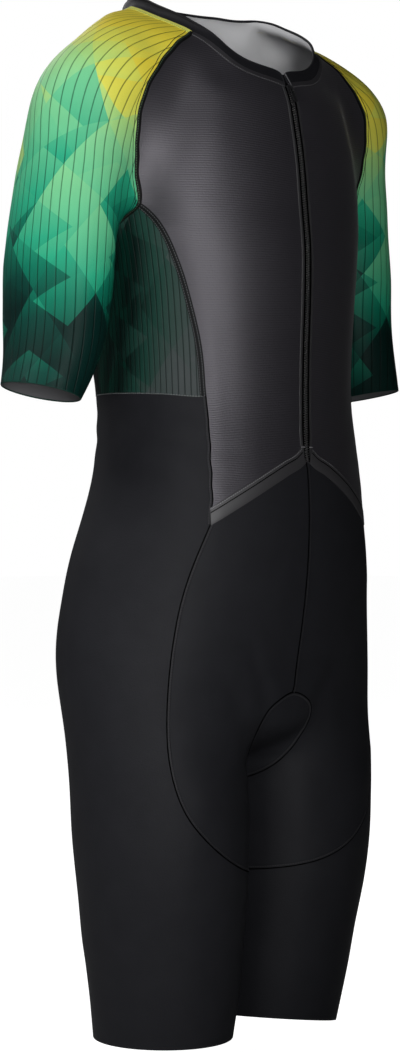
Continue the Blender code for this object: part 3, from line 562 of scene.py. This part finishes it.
front_knit, tree, shader = new_material("front_race_knit", (0.010, 0.010, 0.012), 0.53, 0.95)
cut, _, along = cut_map(tree)
grain = place_group(tree, knit_grain, Map=cut, Pitch=KNIT_PITCH)
shader.inputs["Specular Tint"].default_value = (0.96, 0.92, 1.0, 1.0)
# The cross ribs are sunk in the relief and also painted darker: painted shade in the rib grooves.
ribs = place_group(tree, rib_lines, Place=along, Spacing=0.0022, Width=0.0011)["Line"]
tone = mix_colours(tree, grain["Tone"], (0.007, 0.0065, 0.009, 1.0), (0.014, 0.013, 0.017, 1.0))
shade = calculate(tree, "MULTIPLY", ribs, FRONT_RIB_SHADE)
colour = mix_colours(tree, shade, tone, (0.004, 0.004, 0.005, 1.0))
tree.links.new(colour, shader.inputs["Base Color"])
relief = calculate(tree, "MULTIPLY_ADD", ribs, -FRONT_RIB_DEPTH, grain["Fuzz"])
relief = calculate(tree, "MULTIPLY_ADD", grain["Height"], LOOP_HEIGHT, relief)
set_relief(tree, shader, relief)
shader.inputs["Sheen Weight"].default_value = 0.05
shader.inputs["Sheen Roughness"].default_value = 0.4

front_lining = new_material("front_inner_knit", (0.09, 0.09, 0.095), 0.8)[0]
for end in ("_right", "_left"):
    cut_out("front" + end, front_knit, front_lining)


# --- Sleeves and side panels ------------------------------
# Raglan sleeves and side panels in a lengthwise ribbed knit. A soft all-over print of
# overlapping diamonds runs from yellow at the neck through green to near black at the cuff.
# On the side panels the colours also darken steeply towards the back, to near black under
# the arm: painted shade of the arm's shadow, laid over the print.

diamond_print, start, finish = new_group(
    "diamond_print", ("Across", "Along", "Size", "Slant"), ("Tone",)
)
rise = calculate(diamond_print, "MULTIPLY", start.outputs["Across"], start.outputs["Slant"])
cells = []
for operation in ("ADD", "SUBTRACT"):
    line = calculate(diamond_print, operation, start.outputs["Along"], rise)
    turns = calculate(diamond_print, "DIVIDE", line, start.outputs["Size"])
    cells.append(calculate(diamond_print, "FLOOR", turns))
cell = add_node(diamond_print, "ShaderNodeCombineXYZ", ((0, cells[0]), (1, cells[1])))
place = ((0, cell.outputs[0]),)
chance = add_node(diamond_print, "ShaderNodeTexWhiteNoise", place, noise_dimensions="3D")
diamond_print.links.new(chance.outputs["Value"], finish.inputs["Tone"])

SLEEVE_COLOURS = (
    (0.00, (0.690, 0.570, 0.050)),
    (0.20, (0.600, 0.630, 0.100)),
    (0.31, (0.370, 0.600, 0.180)),
    (0.42, (0.200, 0.540, 0.250)),
    (0.53, (0.110, 0.470, 0.240)),
    (0.64, (0.020, 0.340, 0.190)),
    (0.75, (0.003, 0.160, 0.095)),
    (0.85, (0.002, 0.050, 0.036)),
    (0.94, (0.001, 0.016, 0.013)),
)
# Side colours: the print's own tones, and at the low end the painted shade under the arm.
SIDE_PRINT_AND_SHADE_COLOURS = (
    (0.00, (0.001, 0.003, 0.003)),
    (0.14, (0.002, 0.030, 0.020)),
    (0.26, (0.002, 0.010, 0.008)),
    (0.44, (0.010, 0.046, 0.034)),
    (0.68, (0.034, 0.056, 0.050)),
    (1.00, (0.052, 0.062, 0.063)),
)
PRINT_SHIFT = 0.017
SMALL_SHARE = 0.6
RIB_GROOVE_SHADE = 0.78
RIB_DEPTH = 0.00035
LINING_CUFF_SHADE = (0.11, 0.11, 0.115)
LINING_PALE = (0.47, 0.47, 0.48)


def print_knit(name, colours, rib_spacing, fade_start, fade_length, lean, spread):
    """Ribbed printed knit whose colours fade along the cut, from fade_start downwards. The lean
    slants the fade, and the spread is how far a diamond's tone may shift it."""
    material, tree, shader = new_material(name, (0.05, 0.3, 0.15), 0.5)
    cut, across, along = cut_map(tree)
    grain = place_group(tree, knit_grain, Map=cut, Pitch=KNIT_PITCH)
    large = place_group(tree, diamond_print, Across=across, Along=along, Size=0.082, Slant=1.35)
    shifted = calculate(tree, "ADD", along, PRINT_SHIFT)
    small = place_group(tree, diamond_print, Across=across, Along=shifted, Size=0.046, Slant=-0.62)
    down = calculate(tree, "DIVIDE", calculate(tree, "SUBTRACT", fade_start, along), fade_length)
    place = calculate(tree, "MULTIPLY_ADD", across, lean, down)
    for diamonds, share in ((large, spread), (small, SMALL_SHARE * spread)):
        tone = calculate(tree, "SUBTRACT", diamonds["Tone"], 0.5)
        place = calculate(tree, "MULTIPLY_ADD", tone, share, place)
    ramp = add_node(tree, "ShaderNodeValToRGB", ((0, place),))
    stops = ramp.color_ramp.elements
    while len(stops) < len(colours):
        stops.new(0.5)
    for stop, (position, colour) in zip(stops, colours):
        stop.position = position
        stop.color = (*colour, 1.0)
    # The rib lines are sunk in the relief and also painted darker: painted shade in the rib grooves.
    ribs = place_group(tree, rib_lines, Place=across, Spacing=rib_spacing, Width=0.0009)["Line"]
    painted_rib_shade = calculate(tree, "MULTIPLY", ribs, RIB_GROOVE_SHADE)
    dark = mix_colours(tree, 1.0, ramp.outputs["Color"], (0.05, 0.12, 0.09, 1.0), "MULTIPLY")
    colour = mix_colours(tree, painted_rib_shade, ramp.outputs["Color"], dark)
    tree.links.new(colour, shader.inputs["Base Color"])
    relief = calculate(tree, "MULTIPLY_ADD", ribs, -RIB_DEPTH, grain["Fuzz"])
    relief = calculate(tree, "MULTIPLY_ADD", grain["Height"], LOOP_HEIGHT, relief)
    set_relief(tree, shader, relief)
    return material


sleeve_knit = print_knit("sleeve_print_knit", SLEEVE_COLOURS, 0.0093, -0.025, 0.375, 0.35, 0.26)
# The side panels' steep lean darkens their colours towards the back, near black under the arm:
# painted shade of the arm's shadow over the print's own fade.
side_knit = print_knit("side_print_knit", SIDE_PRINT_AND_SHADE_COLOURS, 0.0056, -0.17, 0.60, 9.0, 0.35)
sleeve_lining, tree, shader = new_material("sleeve_inner_knit", LINING_CUFF_SHADE, 0.8)
_, _, along = cut_map(tree)
# The sleeve lining is pale near the neck like the back's, and painted darker towards the cuff:
# painted shade inside the sleeve.
paler = smooth_step(tree, along, -0.24, -0.14, 0.0, 1.0)
colour = mix_colours(tree, paler, (*LINING_CUFF_SHADE, 1.0), (*LINING_PALE, 1.0))
tree.links.new(colour, shader.inputs["Base Color"])
cuff_edge = new_material("cuff_edge", (0.006, 0.03, 0.022), 0.6)[0]
for end in ("_right", "_left"):
    cut_out("sleeve" + end, sleeve_knit, sleeve_lining)
    cut_out("side" + end, side_knit, sleeve_lining)


# --- Shorts and back --------------------------------------
# Smooth black compression knit with a faint vertical grain. Each outer panel wraps the hip
# and the leg from front to back, a curved inner panel faces each thigh, and an oval gusset
# covers the crotch. The plain back is the same knit, lined in pale mesh at the neck.

leg_knit, tree, shader = new_material("leg_knit", (0.0135, 0.0138, 0.0165), 0.6)
cut, _, _ = cut_map(tree)
grain = place_group(tree, knit_grain, Map=cut, Pitch=KNIT_PITCH)
dark, light = (0.0105, 0.0108, 0.0130, 1.0), (0.0165, 0.0168, 0.0200, 1.0)
colour = mix_colours(tree, grain["Tone"], dark, light)
tree.links.new(colour, shader.inputs["Base Color"])
set_relief(tree, shader, calculate(tree, "MULTIPLY_ADD", grain["Height"], LOOP_HEIGHT, grain["Fuzz"]))
leg_lining = new_material("leg_inner_knit", (0.05, 0.05, 0.055), 0.8)[0]
neck_lining = new_material("neck_inner_knit", LINING_PALE, 0.85)[0]
for end in ("_right", "_left"):
    cut_out("hip" + end, leg_knit, leg_lining)
    cut_out("thigh" + end, leg_knit, leg_lining)
cut_out("gusset", leg_knit, leg_lining)
cut_out("back", leg_knit, neck_lining)


# --- Collar -----------------------------------------------
# A black elastic binding folded round the neck edge and sewn through all its layers. It
# stands up as one narrow band, pale inside like the back.

trim_knit, tree, shader = new_material("trim_knit", (0.010, 0.010, 0.012), 0.6)
cut, _, _ = cut_map(tree)
grain = place_group(tree, knit_grain, Map=cut, Pitch=KNIT_PITCH)
set_relief(tree, shader, calculate(tree, "MULTIPLY_ADD", grain["Height"], LOOP_HEIGHT, grain["Fuzz"]))
cut_out("collar", trim_knit, neck_lining)


# --- Seams ------------------------------------------------
# Flat-sewn joins: the two edges are turned to one side and held by rows of fine stitches,
# so each seam is a slightly raised black band that lies on the cloth.

joins = {}
walk = bmesh.new()
walk.from_mesh(skin.data)
owner = walk.faces.layers.int["panel"]
for edge in walk.edges:
    numbers = sorted(f[owner] for f in edge.link_faces)
    if len(numbers) == 2 and numbers[0] != numbers[1]:
        joins.setdefault(tuple(numbers), []).append(tuple(v.index for v in edge.verts))
panel_of_face = [f[owner] for f in walk.faces]
walk.free()
skin_points = read_values(skin.data.vertices, "co", 3)
tree_of_skin = skin_tree()

# The V of the fronts is cut almost straight, so the joins beside it slide up to that line.
# Its height is a tip, a slope and a curve; points within the reach follow as far as the side.
V_TIP_BUILT = -0.4322
V_TIP, V_SLOPE, V_CURVE = -0.4300, -0.4411, -1.121
V_REACH = 0.03
V_FRONT = -0.05
V_SIDE = 0.106
V_SIDE_BLEND = 0.004

hem_joins = set()
for end in ("_right", "_left"):
    for edge in joins[(PANEL_NUMBER["front" + end], PANEL_NUMBER["thigh" + end])]:
        hem_joins.update(edge)
hem_now = skin_points[sorted(hem_joins)]
hem_now = hem_now[np.argsort(np.abs(hem_now[:, 0]))]
out = np.abs(skin_points[:, 0])
line_now = np.interp(out, [0.0, *np.abs(hem_now[:, 0])], [V_TIP_BUILT, *hem_now[:, 2]])
line_cut = V_TIP + V_SLOPE * out + V_CURVE * out**2
near = np.clip(1.0 - np.abs(skin_points[:, 2] - line_now) / V_REACH, 0.0, 1.0)
near *= (skin_points[:, 1] < V_FRONT) * np.clip((V_SIDE - out) / V_SIDE_BLEND, 0.0, 1.0)
for index in np.nonzero(near)[0]:
    slid = skin_points[index] + (0.0, 0.0, near[index] * (line_cut[index] - line_now[index]))
    skin_points[index] = tree_of_skin.find_nearest(Vector(slid))[0]
skin.data.vertices.foreach_set("co", skin_points.ravel())
tree_of_skin = skin_tree()


def chained(edges):
    """Edges of the skin put end to end as lines of points, longest first."""
    beside = {}
    for start, end in edges:
        beside.setdefault(start, []).append(end)
        beside.setdefault(end, []).append(start)
    lines = []
    while beside:
        ends = sorted(p for p in beside if len(beside[p]) == 1) or sorted(beside)
        line = [ends[0]]
        while beside.get(line[-1]):
            following = beside[line[-1]].pop()
            beside[following].remove(line[-1])
            line.append(following)
        beside = {point: others for point, others in beside.items() if others}
        lines.append(skin_points[line])
    return sorted(lines, key=len, reverse=True)


def seam_lines(first, second):
    """The lines of skin points along which two panels are joined, longest first."""
    numbers = tuple(sorted((PANEL_NUMBER[first], PANEL_NUMBER[second])))
    return chained(joins.get(numbers, ()))


def distances(line):
    """How far along the line each of its points lies."""
    return np.concatenate([[0.0], np.cumsum(np.linalg.norm(np.diff(line, axis=0), axis=1))])


def even_line(line, spacing):
    """The line with evenly spaced points."""
    passed = distances(line)
    count = max(3, int(round(passed[-1] / spacing)) + 1)
    places = np.linspace(0.0, passed[-1], count)
    return np.stack([np.interp(places, passed, line[:, k]) for k in range(3)], axis=1)


def smooth_line(line, rounds):
    """The line with its small kinks eased out and its ends kept."""
    line = line.copy()
    for _ in range(rounds):
        line[1:-1] += 0.5 * (0.5 * (line[:-2] + line[2:]) - line[1:-1])
    return line


def finished(name, shape, material, body="suit"):
    """The mesh as a smooth-shaded piece of the suit."""
    shape.materials.append(material)
    piece = bpy.data.objects.new(name, shape)
    scene.collection.objects.link(piece)
    bpy.context.view_layer.objects.active = piece
    piece.select_set(True)
    bpy.ops.object.shade_smooth_by_angle(angle=math.radians(50))
    piece.select_set(False)
    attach(piece, body)
    return piece


def sealed(name, mesh, rings, material, closed=False):
    """The mesh of rings as a piece of the suit, with its open ends filled."""
    if not closed:
        mesh.faces.new(rings[0])
        mesh.faces.new(reversed(rings[-1]))
    bmesh.ops.recalc_face_normals(mesh, faces=mesh.faces)
    shape = bpy.data.meshes.new(name)
    mesh.to_mesh(shape)
    mesh.free()
    return finished(name, shape, material)


BAND_SPACING = 0.002
BAND_PROBE = 0.004
LEAN_STEPS = 8


def band_on_cloth(name, line, toward, section, material, lean=(0.0, 0.0)):
    """A closed band that follows a line on the cloth. The section pairs a distance from the
    line, towards the given panel, with a height over the cloth, all the way round. The lean
    slants the band's first and last ends: it is the step along the line for each step out."""
    line = smooth_line(even_line(smooth_line(line, 3), BAND_SPACING), 4)
    forward = np.gradient(line, axis=0)
    forward /= np.linalg.norm(forward, axis=1)[:, None]
    rises = np.array([tree_of_skin.find_nearest(Vector(point))[1] for point in line])
    rises = smooth_line(rises, 6)
    aside = np.cross(rises, forward)
    aside /= np.linalg.norm(aside, axis=1)[:, None]
    votes = 0
    for point, across in zip(line, aside):
        face = tree_of_skin.find_nearest(Vector(point + BAND_PROBE * across))[2]
        votes += 1 if panel_of_face[face] == PANEL_NUMBER[toward] else -1
    if votes < 0:
        aside = -aside
    for step in range(LEAN_STEPS):
        fade = 1.0 - step / LEAN_STEPS
        aside[step] += lean[0] * fade * forward[step]
        aside[-1 - step] += lean[1] * fade * forward[-1 - step]
    mesh = bmesh.new()
    layer = mesh.loops.layers.uv.new("cut")
    rings = []
    for point, across in zip(line, aside):
        ring = []
        for distance, height in section:
            found, normal, _, _ = tree_of_skin.find_nearest(Vector(point + distance * across))
            ring.append(mesh.verts.new(found + normal * height))
        rings.append(ring)
    passed = distances(line)
    for row in range(len(rings) - 1):
        for this in range(len(section)):
            following = (this + 1) % len(section)
            steps = ((row, this), (row, following), (row + 1, following), (row + 1, this))
            face = mesh.faces.new([rings[k][j] for k, j in steps])
            for corner, (k, j) in zip(face.loops, steps):
                corner[layer].uv = (section[j][0], passed[k])
    return sealed(name, mesh, rings, material)


STITCH_PITCH = 0.0024
STITCH_SHARE = 0.68
THREAD_HALF_WIDTH = 0.0004
STITCH_RISE = 0.00018
ROW_SINK = 0.0001


def stitched_knit(
    name, colour, thread, rows, pitch=STITCH_PITCH, roughness=0.6, gloss=0.12, painted_groove=None
):
    """Knit with rows of stitches at given distances from the seam line, and perhaps a pressed
    groove, given as its distance and half its width. The groove is painted shade: a black line
    without gloss and without relief."""
    material, tree, shader = new_material(name, colour, roughness, gloss)
    _, across, along = cut_map(tree)
    dash = calculate(tree, "FRACT", calculate(tree, "DIVIDE", along, pitch))
    dash = calculate(tree, "LESS_THAN", dash, STITCH_SHARE)
    sewn = None
    for row in rows:
        away = calculate(tree, "ABSOLUTE", calculate(tree, "SUBTRACT", across, row))
        beside = calculate(tree, "LESS_THAN", away, THREAD_HALF_WIDTH)
        sewn = beside if sewn is None else calculate(tree, "MAXIMUM", sewn, beside)
    stitch = calculate(tree, "MULTIPLY", sewn, dash)
    shade = mix_colours(tree, stitch, (*colour, 1.0), (*thread, 1.0))
    # The groove is painted shade only: a black, unglossy line where a pressed crease would lie in
    # shade, with no relief.
    if painted_groove:
        away = calculate(tree, "ABSOLUTE", calculate(tree, "SUBTRACT", across, painted_groove[0]))
        crease_shade = calculate(tree, "LESS_THAN", away, painted_groove[1])
        shade = mix_colours(tree, crease_shade, shade, (0.001, 0.001, 0.001, 1.0))
        shine = calculate(tree, "MULTIPLY_ADD", crease_shade, -gloss, gloss)
        tree.links.new(shine, shader.inputs["Specular IOR Level"])
    tree.links.new(shade, shader.inputs["Base Color"])
    relief = calculate(tree, "MULTIPLY", stitch, STITCH_RISE)
    relief = calculate(tree, "MULTIPLY_ADD", sewn, -ROW_SINK, relief)
    set_relief(tree, shader, relief)
    return material


# Sections: distance from the seam line and height over the cloth, in metres.
SEAM_SECTION = (
    (-0.0008, -0.0003),
    (-0.0006, 0.0003),
    (0.0002, 0.0006),
    (0.0030, 0.0005),
    (0.0038, 0.0002),
    (0.0040, -0.0003),
)
THREAD_SECTION = ((0.0062, -0.0003), (0.0063, 0.0002), (0.0069, 0.0002), (0.0070, -0.0003))
FINE_SECTION = (
    (-0.0009, -0.0003),
    (-0.0007, 0.0002),
    (0.0003, 0.0004),
    (0.0016, 0.0006),
    (0.0026, 0.0003),
    (0.0029, -0.0003),
)
SIDE_SECTION = (
    (-0.0008, -0.0003),
    (-0.0006, 0.0003),
    (0.0003, 0.0006),
    (0.0045, 0.0004),
    (0.0052, 0.0002),
    (0.0054, -0.0003),
)
raglan_band = stitched_knit("raglan_seam_band", (0.004, 0.004, 0.004), (0.05, 0.09, 0.05), (0.0024,))
raglan_thread = new_material("raglan_thread", (0.004, 0.010, 0.006), 0.7)[0]
side_band = stitched_knit(
    "side_seam_band", (0.006, 0.0065, 0.007), (0.070, 0.072, 0.075), (0.0010, 0.0042)
)
fine_band = stitched_knit(
    "leg_seam_band",
    (0.0125, 0.0125, 0.015),
    (0.032, 0.032, 0.035),
    (0.0019,),
    gloss=0.2,
    painted_groove=(-0.0002, 0.0006),
)


def fine_seam(name, line, toward):
    """A narrow seam in the leg knit."""
    band_on_cloth(name, line, toward, FINE_SECTION, fine_band)


for end in ("_right", "_left"):
    sleeve, side = "sleeve" + end, "side" + end
    for other in ("front" + end, side, "back"):
        line = seam_lines(other, sleeve)[0]
        band_on_cloth(f"seam_{other}_sleeve{end}", line, sleeve, SEAM_SECTION, raglan_band)
        band_on_cloth(f"thread_{other}_sleeve{end}", line, sleeve, THREAD_SECTION, raglan_thread)
    for name, other in (("front", "front" + end), ("back", "back")):
        for number, line in enumerate(seam_lines(other, side)):
            band_on_cloth(f"seam_{name}_side{end}_{number}", line, side, SIDE_SECTION, side_band)
    for number, line in enumerate(seam_lines("hip" + end, "thigh" + end)):
        line = smooth_line(even_line(line, 0.008), 12)
        fine_seam(f"seam_hip_thigh{end}_{number}", line, "thigh" + end)

# The gusset's seam runs right round it from the back, eased to an oval, and the centre seams
# end on it.
rim_edges = []
for numbers, edges in joins.items():
    if PANEL_NUMBER["gusset"] in numbers:
        rim_edges += edges
rim = chained(rim_edges)[0][:-1]
rim = np.roll(rim, -np.argmax(rim[:, 1]), axis=0)
rim = smooth_line(even_line(np.concatenate([rim, rim[:1]]), 0.004), 12)
fine_seam("seam_gusset", rim, "gusset")
for first, second in (("thigh_right", "thigh_left"), ("hip_right", "hip_left")):
    for number, line in enumerate(seam_lines(first, second)):
        away = [np.linalg.norm(rim - line[tip], axis=1) for tip in (0, -1)]
        if away[0].min() < away[1].min():
            line, away = line[::-1], away[::-1]
        line = np.concatenate([line, rim[[np.argmin(away[1])]]])
        fine_seam(f"seam_{first}_{second}_{number}", line, second)


# --- Neck, hems and waist ---------------------------------
# The collar is a folded black binding with a rolled top edge; the cloth under it is
# understitched. The V edge carries a folded hem, with a pressed line painted in as shade and
# one row of stitches, that stands off the shorts, and the waist is joined with one row of
# pale thread.


def open_lines(panel):
    """The lines of skin points along a panel's free edges, longest first."""
    sides = bmesh.new()
    sides.from_mesh(skin.data)
    mark = sides.faces.layers.int["panel"]
    edges = []
    for edge in sides.edges:
        if edge.is_boundary and edge.link_faces[0][mark] == PANEL_NUMBER[panel]:
            edges.append(tuple(v.index for v in edge.verts))
    sides.free()
    return chained(edges)


def upward(line):
    """The line in its climbing order."""
    return line if line[0, 2] < line[-1, 2] else line[::-1]


ROLL_SIDES = 8


def rolled_edge(name, line, radius, material, closed=False, inward=0.0, spacing=0.003):
    """A round roll of cloth along a free edge."""
    line = smooth_line(even_line(line, spacing), 2)
    if inward:
        for index, point in enumerate(line):
            line[index] -= inward * np.array(tree_of_skin.find_nearest(Vector(point))[1])
    forward = np.gradient(line, axis=0)
    if closed:
        line = line[:-1]
        forward[0] = forward[-1] = forward[0] + forward[-1]
        forward = forward[:-1]
    mesh = bmesh.new()
    rings = []
    for point, step in zip(line, forward):
        step = Vector(step).normalized()
        over = Vector(tree_of_skin.find_nearest(Vector(point))[1])
        over = (over - step * over.dot(step)).normalized()
        beside = step.cross(over)
        ring = []
        for k in range(ROLL_SIDES):
            turn = 2 * math.pi * k / ROLL_SIDES
            outward = math.cos(turn) * over + math.sin(turn) * beside
            ring.append(mesh.verts.new(Vector(point) + radius * outward))
        rings.append(ring)
    pairs = list(zip(rings, rings[1:]))
    if closed:
        pairs.append((rings[-1], rings[0]))
    for first, second in pairs:
        for k in range(ROLL_SIDES):
            other = (k + 1) % ROLL_SIDES
            mesh.faces.new((first[k], first[other], second[other], second[k]))
    return sealed(name, mesh, rings, material, closed)


EDGE_RADIUS = 0.0007
EDGE_SINK = 0.0006
rolled_edge("collar_roll", open_lines("collar")[0], 0.0013, trim_knit, inward=EDGE_SINK)

HEM_SECTION = (
    (-0.0012, -0.0002),
    (-0.0012, 0.0010),
    (-0.0004, 0.0013),
    (0.0060, 0.0012),
    (0.0112, 0.0010),
    (0.0128, 0.0007),
    (0.0132, -0.0003),
)
UNDER_SECTION = (
    (-0.0004, -0.0003),
    (-0.0002, 0.0004),
    (0.0030, 0.0005),
    (0.0052, 0.0003),
    (0.0055, -0.0003),
)
LINE_SECTION = ((-0.0007, -0.0003), (-0.0005, 0.0003), (0.0005, 0.0003), (0.0007, -0.0003))
hem_knit = stitched_knit(
    "front_hem_band",
    (0.020, 0.019, 0.022),
    (0.16, 0.16, 0.17),
    (0.0120,),
    roughness=0.58,
    gloss=0.95,
    painted_groove=(0.0090, 0.0005),
)
neck_knit = stitched_knit(
    "neck_underband", (0.013, 0.012, 0.015), (0.10, 0.10, 0.105), (0.0046,), 0.0022, gloss=0.7
)
sleeve_neck_knit = stitched_knit(
    "sleeve_neck_underband", (0.60, 0.62, 0.13), (0.16, 0.20, 0.03), (0.0047,), 0.0022, 0.55
)
waist_thread = stitched_knit(
    "waist_thread", (0.03, 0.034, 0.035), (0.16, 0.17, 0.17), (0.0,), 0.0026
)

# Each front's free edge starts with the last steps of its hem and then follows the zip up.
HEM_STEPS = 8
zip_edges = {}
for end in ("_right", "_left"):
    edge = upward(open_lines("front" + end)[0])
    hem = upward(seam_lines("front" + end, "thigh" + end)[0])
    hem = np.concatenate([hem, edge[1 : HEM_STEPS + 1]])
    zip_edges[end] = edge[HEM_STEPS:]
    band = band_on_cloth(
        "hem_fold" + end, hem, "front" + end, HEM_SECTION, hem_knit, (0.55, 0.3)
    )
    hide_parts("hem_band" + end)
    # Each band's name, the panel it lies on, the panel beyond the join, and its make.
    for name, own, beyond, section, material, slot in (
        ("neck_front", "front" + end, "collar", UNDER_SECTION, neck_knit, "front_knit"),
        ("neck_sleeve", "sleeve" + end, "collar", UNDER_SECTION, sleeve_neck_knit, "sleeve_knit"),
        ("waist_side", "side" + end, "hip" + end, LINE_SECTION, waist_thread, "side_knit"),
        ("waist_back", "back", "hip" + end, LINE_SECTION, waist_thread, "leg_knit"),
        ("seam_front_hip", "hip" + end, "front" + end, FINE_SECTION, fine_band, "leg_knit"),
    ):
        band_on_cloth(name + end, seam_lines(own, beyond)[0], own, section, material)
    for name, panel, material, slot in (
        ("cuff_edge", "sleeve", cuff_edge, "sleeve_knit"),
        ("leg_edge", "hip", leg_knit, "leg_knit"),
    ):
        line = open_lines(panel + end)[0]
        rolled_edge(name + end, line, EDGE_RADIUS, material, True, EDGE_SINK)
line = seam_lines("back", "collar")[0]
band_on_cloth("neck_back", line, "back", UNDER_SECTION, neck_knit)


# --- Zip --------------------------------------------------
# A fine black coil zip: two rows of moulded loops on a woven tape, behind folded and
# topstitched front edges. Pale bar tacks hold its foot and a cloth guard backs its top.

zip_points = read_values(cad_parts["zip"].data.vertices, "co", 3)
LEVEL_HEIGHT = 0.004
ZIP_PITCH = 0.0022
levels = {}
for _, y, z in zip_points[np.argsort(-zip_points[:, 2])]:
    levels.setdefault(round(z / LEVEL_HEIGHT), []).append((y, z))
zip_line = np.array([(0.0, min(level)[0], np.mean(level, axis=0)[1]) for level in levels.values()])
zip_line = smooth_line(even_line(zip_line, ZIP_PITCH), 4)
zip_down = np.gradient(zip_line, axis=0)
zip_down /= np.linalg.norm(zip_down, axis=1)[:, None]
zip_out = np.stack([zip_down[:, 0], zip_down[:, 2], -zip_down[:, 1]], axis=1)

zip_plastic = new_material("zip_plastic", (0.008, 0.008, 0.009), 0.28, 0.9)[0]
# The loops' plastic is the slider's black made twice as pale, so the loops read as pale dots: painted
# highlight.
loop_plastic_painted_highlight = new_material("zip_loop_plastic", (0.016, 0.016, 0.017), 0.35, 0.9)[0]
tape_weave = new_material("zip_tape", (0.002, 0.002, 0.002), 0.9, 0.03)[0]

TAPE_SECTION = ((-0.0048, -0.0021), (-0.0048, -0.0013), (0.0048, -0.0013), (0.0048, -0.0021))
shape = bpy.data.meshes.new("zip_tape")
corners, faces = [], []
for point, out in zip(zip_line, zip_out):
    for across, height in TAPE_SECTION:
        corners.append(point + (across, 0, 0) + height * out)
for row in range(0, len(corners) - 4, 4):
    faces += [(row + k, row + (k + 1) % 4, row + 4 + (k + 1) % 4, row + 4 + k) for k in range(4)]
faces += [(3, 2, 1, 0), tuple(len(corners) - 4 + k for k in range(4))]
shape.from_pydata(corners, [], faces)
tape = finished("zip_tape", shape, tape_weave)
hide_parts("zip")

bpy.ops.mesh.primitive_uv_sphere_add(segments=8, ring_count=6, radius=1.0)
loop_shape = bpy.context.object
loop_points = read_values(loop_shape.data.vertices, "co", 3)
loop_faces = [tuple(face.vertices) for face in loop_shape.data.polygons]
bpy.data.objects.remove(loop_shape)

# Half a loop across, out and along; the two rows stand half a pitch apart, under the slider.
LOOP_WIDE, LOOP_HIGH, LOOP_LONG = 0.0014, 0.0009, 0.00072
LOOP_SINK = 0.0002
SLIDER_HEIGHT = -0.079
for end, place, start in (("_right", -0.0011, 0.0), ("_left", 0.0011, 0.5)):
    corners, faces = [], []
    for step in np.arange(start, len(zip_line) - 1):
        index = int(step)
        point = zip_line[index] + (step - index) * (zip_line[index + 1] - zip_line[index])
        if point[2] > SLIDER_HEIGHT:
            continue
        axes = [(LOOP_WIDE, 0, 0), LOOP_HIGH * zip_out[index], LOOP_LONG * zip_down[index]]
        middle = point + (place, 0, 0) - LOOP_SINK * zip_out[index]
        faces += [tuple(len(corners) + k for k in face) for face in loop_faces]
        corners += list(middle + loop_points @ np.stack(axes))
    shape = bpy.data.meshes.new("zip_loops" + end)
    shape.from_pydata(corners, [], faces)
    finished("zip_loops" + end, shape, loop_plastic_painted_highlight)

FACING_SECTION = (
    (-0.0005, -0.0005),
    (-0.0005, 0.0001),
    (0.0002, 0.0003),
    (0.0040, 0.0002),
    (0.0052, 0.0000),
    (0.0054, -0.0003),
)
facing_knit = stitched_knit(
    "zip_facing",
    (0.013, 0.013, 0.015),
    (0.03, 0.03, 0.033),
    (0.0042,),
    roughness=0.58,
    gloss=0.95,
    painted_groove=(0.0006, 0.0014),
)
tack_thread = new_material("bar_tack_thread", (0.20, 0.20, 0.21), 0.7)[0]
guard_thread = new_material("zip_guard_edge", (0.08, 0.08, 0.085), 0.6)[0]


def on_zip(height, across):
    """The place at a height on the zip, moved across it."""
    return zip_line[np.argmin(np.abs(zip_line[:, 2] - height))] + (across, 0, 0)


ZIP_FOOT = -0.417
TACK_REACH = np.linspace(0.0034, 0.0074, 7)
SEWN_RADIUS = 0.0006
for side, end in ((-1.0, "_right"), (1.0, "_left")):
    front, line = "front" + end, zip_edges[end][:-2]
    band_on_cloth("zip_facing" + end, line, front, FACING_SECTION, facing_knit)
    tack = np.array([on_zip(ZIP_FOOT, side * across) for across in TACK_REACH])
    rolled_edge(
        "bar_tack" + end, tack, SEWN_RADIUS, tack_thread, inward=-0.0006, spacing=0.0007
    )
GUARD_LINE = ((-0.0630, 0.0012), (-0.0690, 0.0030), (-0.0760, 0.0046), (-0.0850, 0.0050))
guard = even_line(np.array([on_zip(height, across) for height, across in GUARD_LINE]), 0.002)
rolled_edge(
    "zip_guard_edge", guard, SEWN_RADIUS, guard_thread, inward=-0.0012, spacing=0.002
)

# The slider and its tab: the CAD bodies with their edges broken, in glossy black.
for node, name, body in (("zip_slider", "slider_body", "suit"), ("zip_pull", "pull_tab", "pull")):
    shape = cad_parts[node].data.copy()
    shape.materials.clear()
    piece = finished(name, shape, zip_plastic, body)
    bevel = piece.modifiers.new("edges", "BEVEL")
    bevel.width = 0.0002
    bevel.segments = 2
    bevel.limit_method = "ANGLE"
    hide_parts(node)


# --- Skin -------------------------------------------------
# The joined skin was only the form that the pieces were cut from, so it goes.

bpy.data.objects.remove(skin)
